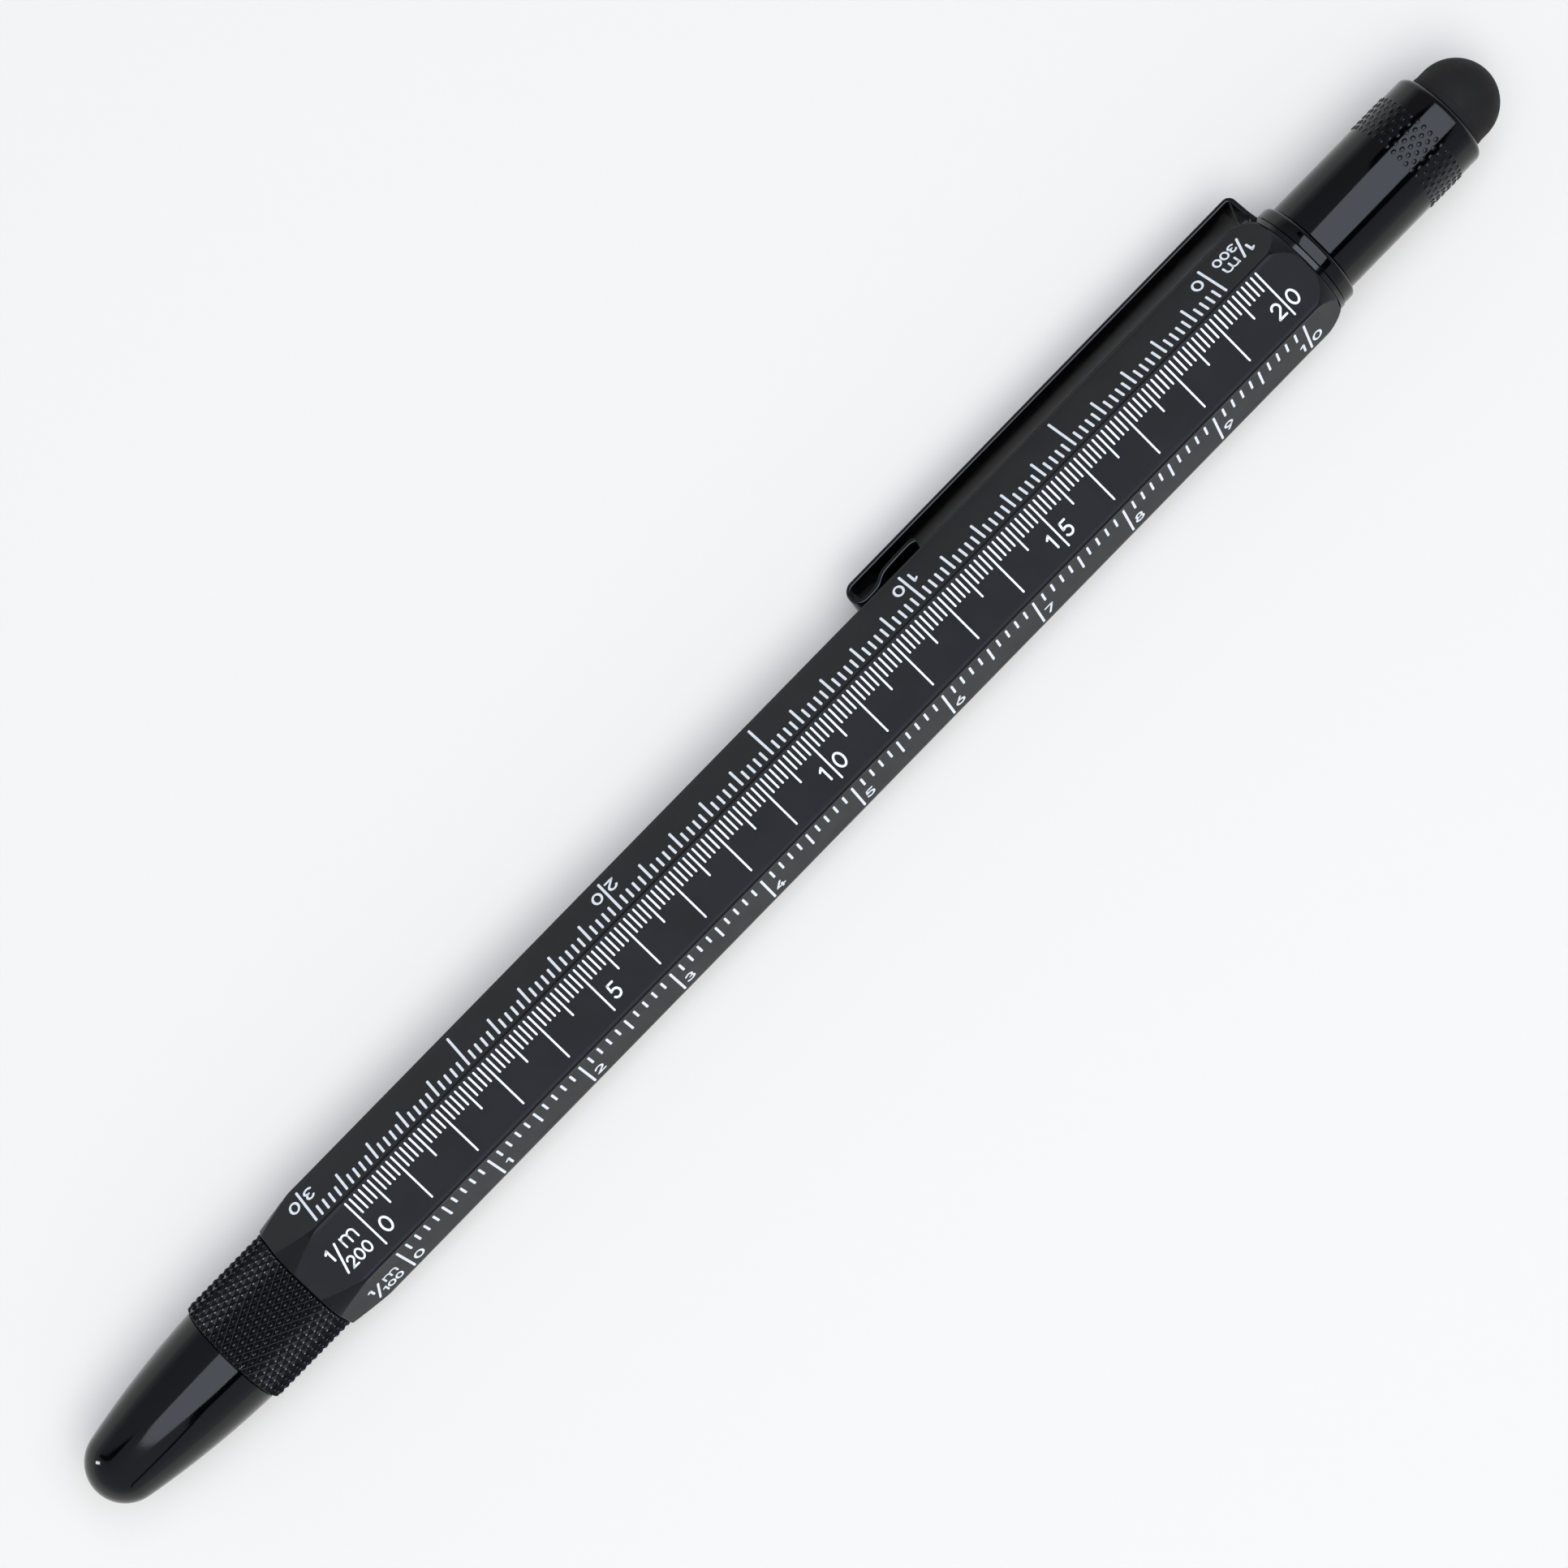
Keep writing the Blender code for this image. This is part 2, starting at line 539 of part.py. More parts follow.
def strip_outline(route, thickness):
    """Closed outline of a strip of even thickness that follows a middle line."""
    points = [Vector(point) for point in route]
    left = []
    right = []
    for index, point in enumerate(points):
        before = points[max(index - 1, 0)]
        after = points[min(index + 1, len(points) - 1)]
        arriving = (point - before).normalized() if index else (after - point).normalized()
        leaving = (after - point).normalized() if index < len(points) - 1 else arriving
        mitre = (arriving + leaving).normalized()
        reach = thickness / 2 / max(mitre.dot(arriving), math.cos(SHARPEST_MITRE))
        sideways = Vector((-mitre.y, mitre.x)) * reach
        left.append(point + sideways)
        right.append(point - sideways)
    return left + right[::-1]


def clip_arm():
    """Spring strip with its bend at the root and the fold that lies on the barrel."""
    outline = strip_outline(clip_route(), CLIP_THICKNESS)
    corners = [(x, -CLIP_WIDTH / 2, height) for x, height in outline]
    return prism("clip_arm", corners, (0.0, CLIP_WIDTH, 0.0))


def top_collar():
    """Flange that shows, with a sleeve down into the barrel and a spigot up into the tool cover."""
    edge = COLLAR_EDGE_RADIUS
    groove_end = SPIGOT_END_X - SPIGOT_GROOVE_SETBACK
    groove_start = groove_end - SPIGOT_GROOVE_WIDTH
    outside = [(SLEEVE_X, BARREL_BORE - SLIP), (COLLAR_X, BARREL_BORE - SLIP), (COLLAR_X, COLLAR_RADIUS)]
    outside += arc((COLLAR_END_X - edge, COLLAR_RADIUS - edge), edge, 90, 0, EDGE_STEPS)
    outside += [(COLLAR_END_X, SPIGOT_RADIUS), (groove_start, SPIGOT_RADIUS)]
    outside += [(groove_start, SPIGOT_GROOVE_RADIUS), (groove_end, SPIGOT_GROOVE_RADIUS)]
    outside += [(groove_end, SPIGOT_RADIUS), (SPIGOT_END_X, SPIGOT_RADIUS)]
    inside = [(SPIGOT_END_X, COLLAR_BORE), (SLEEVE_X, COLLAR_BORE)]
    return turned("top_collar", outside + inside)


def seal_ring(name, x, groove_radius, section):
    """Rubber ring of round section, resting in a groove."""
    centre = groove_radius + section + SLIP / 2
    round_section = arc((x, centre), section, 0, 360, SEAL_STEPS + 1)[:-1]
    return turned(name, round_section, INNER_SEGMENTS)


def cover_oring():
    """Seal that holds the tool cover on the spigot by friction."""
    x = SPIGOT_END_X - SPIGOT_GROOVE_SETBACK - SPIGOT_GROOVE_WIDTH / 2
    return seal_ring("cover_oring", x, SPIGOT_GROOVE_RADIUS, COVER_ORING_SECTION)


def bit_holder():
    """Spindle held up against the collar's sleeve, with the six-sided socket for the bit."""
    flange_end = HOLDER_X + HOLDER_FLANGE_LENGTH
    mouth = SPIGOT_END_X + HOLDER_PROUD
    outline = [(HOLDER_X, 0.0), (HOLDER_X, HOLDER_FLANGE_RADIUS), (flange_end, HOLDER_FLANGE_RADIUS)]
    outline += [(flange_end, HOLDER_RADIUS), (mouth, HOLDER_RADIUS), (mouth, 0.0)]
    holder = turned("bit_holder", outline, INNER_SEGMENTS)
    corners = hex_corners(BIT_ACROSS_FLATS + 2 * SLIP, BIT_EDGE_BREAK, SOCKET_FLOOR_X)
    socket = prism("bit_socket", corners, (mouth + OVERRUN - SOCKET_FLOOR_X, 0.0, 0.0))
    combine(holder, socket, "DIFFERENCE")
    return holder


def bit_magnet():
    """Small round magnet on the socket's floor."""
    start = SOCKET_FLOOR_X + SEAM
    return turned("bit_magnet", plug_outline(start, start + MAGNET_LENGTH, MAGNET_RADIUS), SMALL_SEGMENTS)


def driver_bit():
    """Six-sided shank with a cross point at the outer end and a flat blade at the inner end."""
    end_x = BIT_X + BIT_LENGTH
    shank_start = BIT_X + BIT_NECK_LENGTH
    shank_length = BIT_LENGTH - 2 * BIT_NECK_LENGTH
    flats = hex_corners(BIT_ACROSS_FLATS, BIT_EDGE_BREAK, shank_start)
    shank = prism("driver_bit", flats, (shank_length, 0.0, 0.0))
    neck = plug_outline(BIT_X + BIT_BLADE_LENGTH, end_x - BIT_CROSS_LENGTH, BIT_NECK_RADIUS)
    combine(shank, turned("bit_neck", neck, SMALL_SEGMENTS), "UNION")
    combine(shank, bit_cross(end_x), "UNION")
    combine(shank, bit_blade(), "UNION")
    return shank


def bit_cross(end_x):
    """Cross point: a cone cut down to four wings."""
    root = end_x - BIT_CROSS_LENGTH - OVERRUN
    radius = BIT_NECK_RADIUS - SLIP
    outline = [(root, 0.0), (root, radius), (end_x - BIT_CROSS_LENGTH, radius)]
    outline += [(end_x, BIT_CROSS_TIP_RADIUS), (end_x, 0.0)]
    point = turned("bit_cross", outline, SMALL_SEGMENTS)
    wing = BIT_CROSS_WING / 2
    reach = BIT_NECK_RADIUS + OVERRUN
    plus = [(wing, reach), (wing, wing), (reach, wing), (reach, -wing), (wing, -wing), (wing, -reach)]
    plus += [(-y, -z) for y, z in plus]
    corners = [(root - OVERRUN, y, z) for y, z in plus]
    length = BIT_CROSS_LENGTH + 3 * OVERRUN
    combine(point, prism("bit_wings", corners, (length, 0.0, 0.0)), "INTERSECT")
    return point


def bit_blade():
    """Flat blade at the inner end of the bit."""
    half = BIT_BLADE_THICKNESS / 2
    width = BIT_NECK_RADIUS - SLIP
    root = BIT_X + BIT_BLADE_LENGTH + OVERRUN
    corners = [(BIT_X, width, half), (BIT_X, width, -half), (BIT_X, -width, -half), (BIT_X, -width, half)]
    return prism("bit_blade", corners, (root - BIT_X, 0.0, 0.0))


def tool_cover():
    """Tube with a closed end that carries the stylus."""
    edge = COVER_EDGE_RADIUS
    floor = COVER_END_X - COVER_END_WALL
    hole = STYLUS_STEM_RADIUS + SLIP
    outside = [(COVER_X, COVER_BORE), (COVER_X, COVER_RADIUS)]
    outside += arc((COVER_END_X - edge, COVER_RADIUS - edge), edge, 90, 0, EDGE_STEPS)
    inside = [(COVER_END_X, hole), (floor, hole), (floor, COVER_BORE)]
    return turned("tool_cover", outside + inside)


def stylus_core():
    """Stem through the cover's end with the round head that fills the dome."""
    head = STYLUS_RADIUS - STYLUS_WALL - SLIP
    centre = STYLUS_X + STYLUS_LENGTH - STYLUS_RADIUS
    stem_x = COVER_END_X - COVER_END_WALL
    outline = [(stem_x, 0.0), (stem_x, STYLUS_STEM_RADIUS), (STYLUS_X, STYLUS_STEM_RADIUS), (STYLUS_X, head)]
    outline += arc((centre, 0.0), head, 90, 0)
    return turned("stylus_core", outline, INNER_SEGMENTS)


def stylus_dome():
    """Soft dome with a short foot that rests on the cover's end."""
    centre = (STYLUS_X + STYLUS_LENGTH - STYLUS_RADIUS, 0.0)
    foot_end = STYLUS_X + STYLUS_FOOT_LENGTH
    inner = STYLUS_RADIUS - STYLUS_WALL
    outer = arc(centre, STYLUS_RADIUS, 0, 90, DOME_STEPS)
    foot = [(foot_end, STYLUS_RADIUS), (foot_end - SEAM, STYLUS_FOOT_RADIUS), (STYLUS_X, STYLUS_FOOT_RADIUS)]
    hollow = [(STYLUS_X, inner)] + arc(centre, inner, 90, 0)
    return turned("stylus_dome", outer + foot + hollow)


def grip_section():
    """Section with tail thread, seating flange, cap thread, seal groove and a tapering grip."""
    thread_end = BARREL_X - SECTION_THREAD_LENGTH
    groove_end = thread_end - SECTION_GROOVE_WIDTH
    flange_end = BARREL_X + SECTION_FLANGE_LENGTH
    thread = CAP_THREAD_BORE - 2 * SLIP
    tail = BARREL_BORE - SLIP
    flange = COUNTERBORE_RADIUS - SLIP
    inner_wall_x = SECTION_NOSE_X + SECTION_NOSE_WALL
    outside = [(SECTION_END_X, tail), (flange_end, tail), (flange_end, flange), (BARREL_X, flange)]
    outside += [(BARREL_X, thread), (thread_end, thread), (thread_end, SECTION_GROOVE_RADIUS)]
    outside += [(groove_end, SECTION_GROOVE_RADIUS), (groove_end, SECTION_GRIP_RADIUS)]
    outside += [(SECTION_NOSE_X, SECTION_NOSE_RADIUS), (SECTION_NOSE_X, TIP_STEM_RADIUS + SLIP)]
    seat = CARTRIDGE_NECK_RADIUS + SLIP
    inside = [(inner_wall_x, TIP_STEM_RADIUS + SLIP), (inner_wall_x, FEED_RADIUS + SLIP)]
    inside += [(FEED_END_X, FEED_RADIUS + SLIP), (FEED_END_X, seat), (SECTION_SEAT_X, seat)]
    inside += [(SECTION_SEAT_X, SECTION_TAIL_BORE), (SECTION_END_X, SECTION_TAIL_BORE)]
    return turned("grip_section", outside + inside, INNER_SEGMENTS)


def section_oring():
    """Seal that steadies the cap on the section."""
    x = BARREL_X - SECTION_THREAD_LENGTH - SECTION_GROOVE_WIDTH / 2
    return seal_ring("section_oring", x, SECTION_GROOVE_RADIUS, SECTION_ORING_SECTION)


def ink_feed():
    """Finned feed with a collar at its rear and the spike that opens the cartridge."""
    collar_x = FEED_END_X - FEED_COLLAR_LENGTH
    pitch = (collar_x - FEED_X) / FEED_FIN_COUNT
    outline = [(FEED_X, 0.0)]
    for fin in range(FEED_FIN_COUNT):
        x = FEED_X + fin * pitch
        outline += [(x, FEED_RADIUS), (x + FEED_FIN_LENGTH, FEED_RADIUS)]
        outline += [(x + FEED_FIN_LENGTH, FEED_CORE_RADIUS), (x + pitch, FEED_CORE_RADIUS)]
    outline += [(collar_x, FEED_RADIUS), (FEED_END_X, FEED_RADIUS), (FEED_END_X, SPIKE_RADIUS)]
    spike_end = FEED_END_X + SPIKE_LENGTH
    outline += [(spike_end - SPIKE_RADIUS, SPIKE_RADIUS), (spike_end, 0.0)]
    return turned("ink_feed", outline, INNER_SEGMENTS)


def roller_tip():
    """Metal cone with a stem into the section and a rolled seat for the ball."""
    stem_end = SECTION_NOSE_X + SECTION_NOSE_WALL
    seat = BALL_RADIUS + BALL_SLIP
    rim = BALL_RADIUS - BALL_SLIP
    back = BALL_X + seat
    outline = [(stem_end, 0.0), (stem_end, TIP_STEM_RADIUS), (TIP_X, TIP_STEM_RADIUS), (TIP_X, TIP_RADIUS)]
    outline += [(TIP_FACE_X, TIP_FACE_RADIUS), (TIP_FACE_X, rim), (BALL_X, seat), (back, seat), (back, 0.0)]
    return turned("roller_tip", outline, INNER_SEGMENTS)


def roller_ball():
    """Ball that rolls the ink out."""
    return turned("roller_ball", arc((BALL_X, 0.0), BALL_RADIUS, 180, 0, BALL_STEPS), SMALL_SEGMENTS)


def ink_cartridge():
    """Thin tube with a shouldered neck that slips over the spike."""
    neck_x = CARTRIDGE_X - CARTRIDGE_NECK_LENGTH
    end_x = CARTRIDGE_END_X
    radius = CARTRIDGE_RADIUS
    wall = CARTRIDGE_WALL
    hole = SPIKE_RADIUS + SLIP
    outline = [(neck_x, hole), (neck_x, CARTRIDGE_NECK_RADIUS), (CARTRIDGE_X, CARTRIDGE_NECK_RADIUS)]
    outline += [(CARTRIDGE_X, radius - CARTRIDGE_EDGE), (CARTRIDGE_X + CARTRIDGE_EDGE, radius)]
    outline += [(end_x - CARTRIDGE_EDGE, radius), (end_x, radius - CARTRIDGE_EDGE), (end_x, 0.0)]
    inner = radius - wall
    outline += [(end_x - wall, 0.0), (end_x - wall, inner - CARTRIDGE_EDGE)]
    outline += [(end_x - CARTRIDGE_EDGE - wall, inner), (CARTRIDGE_X + CARTRIDGE_EDGE + wall, inner)]
    outline += [(CARTRIDGE_X + wall, inner - CARTRIDGE_EDGE), (CARTRIDGE_X + wall, hole)]
    return turned_cup("ink_cartridge", outline, INNER_SEGMENTS)


def turned_cup(name, outline, segments):
    """Revolve a wall that touches the axis in its middle, where its end is closed."""
    split = [index for index, point in enumerate(outline) if point[1] == 0.0]
    ordered = outline[split[1]:] + outline[:split[0] + 1]
    return turned(name, ordered, segments)


def level_carrier():
    """Cradle that fills the barrel's bore round the vial, open towards the slot."""
    outer = BARREL_BORE - SLIP
    seat = VIAL_RADIUS + SLIP
    lip = math.degrees(math.asin(CRADLE_TOP / outer))
    outline = arc((0.0, 0.0), outer, 180 - lip, 360 + lip, INNER_SEGMENTS)
    trough = arc((0.0, VIAL_OFFSET), seat, 0, -180, SEAT_STEPS)
    outline += [(seat, CRADLE_TOP)] + trough + [(-seat, CRADLE_TOP)]
    corners = [(LEVEL_X - CRADLE_LENGTH / 2, across, out) for across, out in outline]
    return prism("level_carrier", corners, (CRADLE_LENGTH, 0.0, 0.0))


def level_vial():
    """Clear tube on its own axis, drawn about the pen's axis and hung at its offset."""
    start = LEVEL_X - VIAL_LENGTH / 2
    end = LEVEL_X + VIAL_LENGTH / 2
    outline = [(start, VIAL_BORE), (start, VIAL_RADIUS), (end, VIAL_RADIUS), (end, VIAL_BORE)]
    return turned("level_vial", outline, INNER_SEGMENTS)


def level_plug(name, side):
    """End plug inside the vial, at its front (-1) or rear (+1)."""
    outer = LEVEL_X + side * VIAL_LENGTH / 2
    inner = outer - side * VIAL_PLUG_LENGTH
    return turned(name, plug_outline(min(outer, inner), max(outer, inner), VIAL_BORE - SLIP), INNER_SEGMENTS)


def level_fluid():
    """Fluid that fills the vial, less the channel along which the bubble runs."""
    half = VIAL_LENGTH / 2 - VIAL_PLUG_LENGTH - SEAM
    outline = plug_outline(LEVEL_X - half, LEVEL_X + half, VIAL_BORE - SLIP)
    fluid = turned("level_fluid", outline, INNER_SEGMENTS)
    run = BUBBLE_LENGTH / 2 + BUBBLE_TRAVEL + 2 * SLIP
    floor = VIAL_BORE - SLIP - BUBBLE_DEPTH
    corners = [(LEVEL_X - run, VIAL_BORE, floor), (LEVEL_X + run, VIAL_BORE, floor),
               (LEVEL_X + run, -VIAL_BORE, floor), (LEVEL_X - run, -VIAL_BORE, floor)]
    combine(fluid, prism("bubble_channel", corners, (0.0, 0.0, BUBBLE_DEPTH + OVERRUN)), "DIFFERENCE")
    return fluid


def level_bubble():
    """Flat-bottomed bubble under the crown of the vial."""
    radius = VIAL_BORE - 2 * SLIP
    edge = BUBBLE_DEPTH / 2
    start = LEVEL_X - BUBBLE_LENGTH / 2
    end = LEVEL_X + BUBBLE_LENGTH / 2
    outline = [(start, 0.0), (start, radius - edge), (start + edge, radius)]
    outline += [(end - edge, radius), (end, radius - edge), (end, 0.0)]
    bubble = turned("level_bubble", outline, INNER_SEGMENTS)
    floor = VIAL_BORE - BUBBLE_DEPTH
    low = -(radius + OVERRUN)
    wide = radius + OVERRUN
    corners = [(start - OVERRUN, wide, floor), (end + OVERRUN, wide, floor),
               (end + OVERRUN, -wide, floor), (start - OVERRUN, -wide, floor)]
    combine(bubble, prism("bubble_floor", corners, (0.0, 0.0, low - floor)), "DIFFERENCE")
    return bubble


def build_barrel(pen):
    """Barrel, clip washer, collar and bit holder, which stay together."""
    finish(hex_barrel(), SATIN_BLACK).parent = pen
    finish(top_collar(), GLOSS_BLACK).parent = pen
    finish(cover_oring(), SEAL_BLACK).parent = pen
    finish(bit_holder(), DARK_STEEL).parent = pen
    finish(bit_magnet(), BRIGHT_STEEL).parent = pen


def build_clip(pen):
    """Clip on its own side of the barrel, its strip hinged where it leaves the washer."""
    side = carrier("clip_side", pen, roll=-CLIP_ANGLE)
    finish(clip_ring(), GLOSS_BLACK).parent = side
    root = (WASHER_X + CLIP_THICKNESS / 2, 0.0, CLIP_WASHER_RADIUS)
    mount_on(finish(clip_arm(), GLOSS_BLACK), carrier("clip_pivot", side, root))


def build_level(pen):
    """Level behind the slot, on the side opposite the scale face."""
    side = carrier("level_side", pen, roll=math.pi)
    finish(level_carrier(), MOULDED_GREY).parent = side
    vial_axis = carrier("vial_axis", side, (0.0, 0.0, VIAL_OFFSET))
    finish(level_vial(), CLEAR_VIAL).parent = vial_axis
    finish(level_plug("level_plug_front", -1), MOULDED_WHITE).parent = vial_axis
    finish(level_plug("level_plug_rear", 1), MOULDED_WHITE).parent = vial_axis
    finish(level_fluid(), LEVEL_GREEN).parent = vial_axis
    bubble_guide = carrier("bubble_guide", vial_axis, (LEVEL_X, 0.0, 0.0))
    mount_on(finish(level_bubble(), BUBBLE_PALE), bubble_guide)


def build_tool_end(pen):
    """Tool cover with its stylus, and the bit, each sliding along the pen."""
    cover_axis = carrier("cover_axis", pen, (COVER_X, 0.0, 0.0))
    mount_on(finish(tool_cover(), GLOSS_BLACK), cover_axis)
    mount_on(finish(stylus_core(), MOULDED_GREY), cover_axis)
    mount_on(finish(stylus_dome(), STYLUS_BLACK), cover_axis)
    mount_on(finish(driver_bit(), BRIGHT_STEEL), carrier("bit_axis", pen, (BIT_X, 0.0, 0.0)))


def build_writing_end(pen):
    """Section with feed and tip, then the cap, the cartridge and the ball that move on it."""
    section_axis = carrier("section_axis", pen, (BARREL_X, 0.0, 0.0))
    mount_on(finish(grip_section(), SATIN_BLACK), section_axis)
    mount_on(finish(section_oring(), SEAL_BLACK), section_axis)
    mount_on(finish(ink_feed(), MOULDED_GREY), section_axis)
    mount_on(finish(roller_tip(), BRIGHT_STEEL), section_axis)
    cap_axis = carrier("cap_axis", pen, (CAP_MOUTH_X, 0.0, 0.0))
    mount_on(finish(cap_shell(), GLOSS_BLACK), cap_axis)
    mount_on(finish(knurled_ring(), KNURL_BLACK), cap_axis)
    mount_on(finish(cap_liner(), MOULDED_WHITE), cap_axis)
    mount_on(finish(ink_cartridge(), INK_CLEAR), carrier("cartridge_axis", pen, (CARTRIDGE_X, 0.0, 0.0)))
    mount_on(finish(roller_ball(), BRIGHT_STEEL), carrier("ball_axis", pen, (BALL_X, 0.0, 0.0)))


def main():
    """Build the pen and lay it on the desk."""
    clear_scene()
    pen = carrier("pen", None, rest_place(), rest_roll())
    build_barrel(pen)
    build_clip(pen)
    build_level(pen)
    build_tool_end(pen)
    build_writing_end(pen)
    bpy.context.view_layer.update()


main()
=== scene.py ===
"""Looks of the tool pen: finishes, knurl, printed scales, threads and level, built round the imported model."""
import json
import math

import bmesh
import bpy
from mathutils import Matrix, Vector


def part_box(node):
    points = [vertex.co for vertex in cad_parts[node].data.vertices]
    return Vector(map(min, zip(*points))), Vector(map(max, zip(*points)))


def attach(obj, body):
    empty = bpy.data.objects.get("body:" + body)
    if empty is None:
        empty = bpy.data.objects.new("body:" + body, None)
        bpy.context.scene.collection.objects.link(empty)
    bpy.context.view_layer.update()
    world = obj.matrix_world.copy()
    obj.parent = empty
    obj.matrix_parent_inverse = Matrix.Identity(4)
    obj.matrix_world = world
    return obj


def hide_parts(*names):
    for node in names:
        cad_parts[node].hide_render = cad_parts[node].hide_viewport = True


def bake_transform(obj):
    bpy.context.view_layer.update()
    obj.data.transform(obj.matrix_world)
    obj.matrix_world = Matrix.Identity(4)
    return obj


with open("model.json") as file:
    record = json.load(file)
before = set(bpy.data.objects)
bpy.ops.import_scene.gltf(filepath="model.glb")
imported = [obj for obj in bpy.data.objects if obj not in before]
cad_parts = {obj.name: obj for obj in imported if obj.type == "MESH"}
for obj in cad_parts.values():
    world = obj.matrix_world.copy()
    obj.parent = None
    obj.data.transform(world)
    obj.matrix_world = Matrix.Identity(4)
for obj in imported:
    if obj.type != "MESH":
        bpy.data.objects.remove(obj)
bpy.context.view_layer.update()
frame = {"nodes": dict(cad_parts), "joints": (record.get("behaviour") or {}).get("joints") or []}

MM = 0.001
POLE = 0.0005 * MM
WELD = 0.0008 * MM
ROUND_COLUMNS = 144
SMALL_COLUMNS = 64
EASE_STEPS = 4
SMOOTH = math.radians(32)


def node_span(node):
    """Where a node starts and ends along the pen."""
    low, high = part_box(node)
    return low.x, high.x


def pen_matrix():
    """Place of the pen's own axes: +X along it, +Z out of the scale face, +Y towards the clip's side."""
    low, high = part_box("top_collar")
    flex = next(joint for joint in frame["joints"] if joint["name"] == "clip_flex")
    roll = math.atan2(flex["axis"][2], flex["axis"][1]) + CLIP_ANGLE
    place = Matrix.Translation((0.0, (low.y + high.y) / 2, (low.z + high.z) / 2))
    return place @ Matrix.Rotation(roll, 4, "X")


# Places along the pen, read from the frame
NOSE_X, SHELL_END_X = node_span("cap_shell")
RING_X, CAP_MOUTH_X = node_span("knurled_ring")
BARREL_X, BARREL_END_X = node_span("hex_barrel")
WASHER_X, WASHER_END_X = node_span("clip_ring")
SLEEVE_X, SPIGOT_END_X = node_span("top_collar")
COVER_X, COVER_END_X = node_span("tool_cover")
STYLUS_X, STYLUS_END_X = node_span("stylus_dome")
CORE_X = node_span("stylus_core")[0]
SECTION_NOSE_X, SECTION_END_X = node_span("grip_section")
FEED_X, SPIKE_END_X = node_span("ink_feed")
TIP_FACE_X, TIP_STEM_X = node_span("roller_tip")
CARTRIDGE_NECK_X, CARTRIDGE_END_X = node_span("ink_cartridge")
HOLDER_X, HOLDER_END_X = node_span("bit_holder")
MAGNET_X, MAGNET_END_X = node_span("bit_magnet")
BIT_X, BIT_END_X = node_span("driver_bit")
VIAL_X, VIAL_END_X = node_span("level_vial")
CLIP_TIP_X, CLIP_ROOT_X = node_span("clip_arm")
CRADLE_X = node_span("level_carrier")[0]
LEVEL_X = (VIAL_X + VIAL_END_X) / 2

# The zero of the printed scales
SCALE_SETBACK = 6.65 * MM
ZERO_X = BARREL_X + SCALE_SETBACK

# Barrel
HEX_SECTOR = math.radians(60)
CLIP_ANGLE = 2 * HEX_SECTOR
FACE_OUT = 4.90 * MM
HEX_EDGE_RADIUS = 0.30 * MM
HEX_EDGE_POLISH_START = 5.47 * MM
HEX_EDGE_POLISH_FULL = 5.55 * MM
CONE_FACE_RADIUS = 5.08 * MM
CONE_ANGLE = math.radians(8.3)
SHOULDER_CROWN = 5.70 * MM
SHOULDER_RADIUS = 5.46 * MM
SHOULDER_LENGTH = 2.75 * MM
SHOULDER_EDGE_BREAK = 0.11 * MM
FRONT_EDGE_BREAK = 0.06 * MM
SCALLOP_EASE = 0.07 * MM
BARREL_BORE = 3.90 * MM
COUNTERBORE_RADIUS = 4.35 * MM
COUNTERBORE_DEPTH = 1.10 * MM
PARTITION_THICKNESS = 2.40 * MM
LEVEL_SLOT_LENGTH = 16.00 * MM
LEVEL_SLOT_WIDTH = 3.40 * MM
LEVEL_SLOT_CHAMFER = 0.30 * MM
FACE_COLUMNS = 30
EDGE_COLUMNS = 6
CONE_ROWS = 8
SHOULDER_ROWS = 12

# Cap
CAP_SHOULDER_RADIUS = 4.58 * MM
CAP_FLANK_RADIUS = 81.8 * MM
CAP_FLANK_SETBACK = 3.06 * MM
CAP_WALL = 0.55 * MM
CAP_END_WALL = 1.90 * MM
CAP_END_CORNER = 0.80 * MM
CAP_SPIGOT_RADIUS = 4.35 * MM
CAP_THREAD_BORE = 3.75 * MM
CAP_THREAD_LENGTH = 4.50 * MM
CAP_RELIEF_RADIUS = 3.95 * MM
CAP_FLANK_CENTRE = CAP_SHOULDER_RADIUS - math.sqrt(CAP_FLANK_RADIUS ** 2 - CAP_FLANK_SETBACK ** 2)
KNURL_CREST_RADIUS = 4.97 * MM
KNURL_DEPTH = 0.297 * MM
KNURL_COUNT = 46
KNURL_STEPS = 14
KNURL_LONG_PITCH = 1.226 * MM
KNURL_END_RADIUS = 0.34 * MM
KNURL_SMOOTH = math.radians(55)
KNURL_WEAR_START = 0.060 * MM
KNURL_WEAR_FULL = 0.028 * MM

# Clip strip
CLIP_THICKNESS = 0.40 * MM
CLIP_WIDTH = 5.34 * MM
CLIP_EDGE_RADIUS = 0.14 * MM
CLIP_WASHER_RADIUS = 4.90 * MM
CLIP_ROOT_HEIGHT = 7.24 * MM
CLIP_LOOP_HEIGHT = 7.12 * MM
CLIP_BEND_RADIUS = 0.32 * MM
CLIP_SEAT_GAP = 0.10 * MM
CLIP_RETURN_LENGTH = 5.90 * MM
CLIP_RETURN_RISE = 0.72 * MM
CLIP_RETURN_SHARES = ((0.14, 0.0), (0.24, 0.14), (0.36, 0.72), (0.46, 0.90), (0.86, 1.0),
                      (0.94, 0.93), (1.0, 0.72))
CLIP_FACE = Matrix.Rotation(-CLIP_ANGLE, 4, "X")

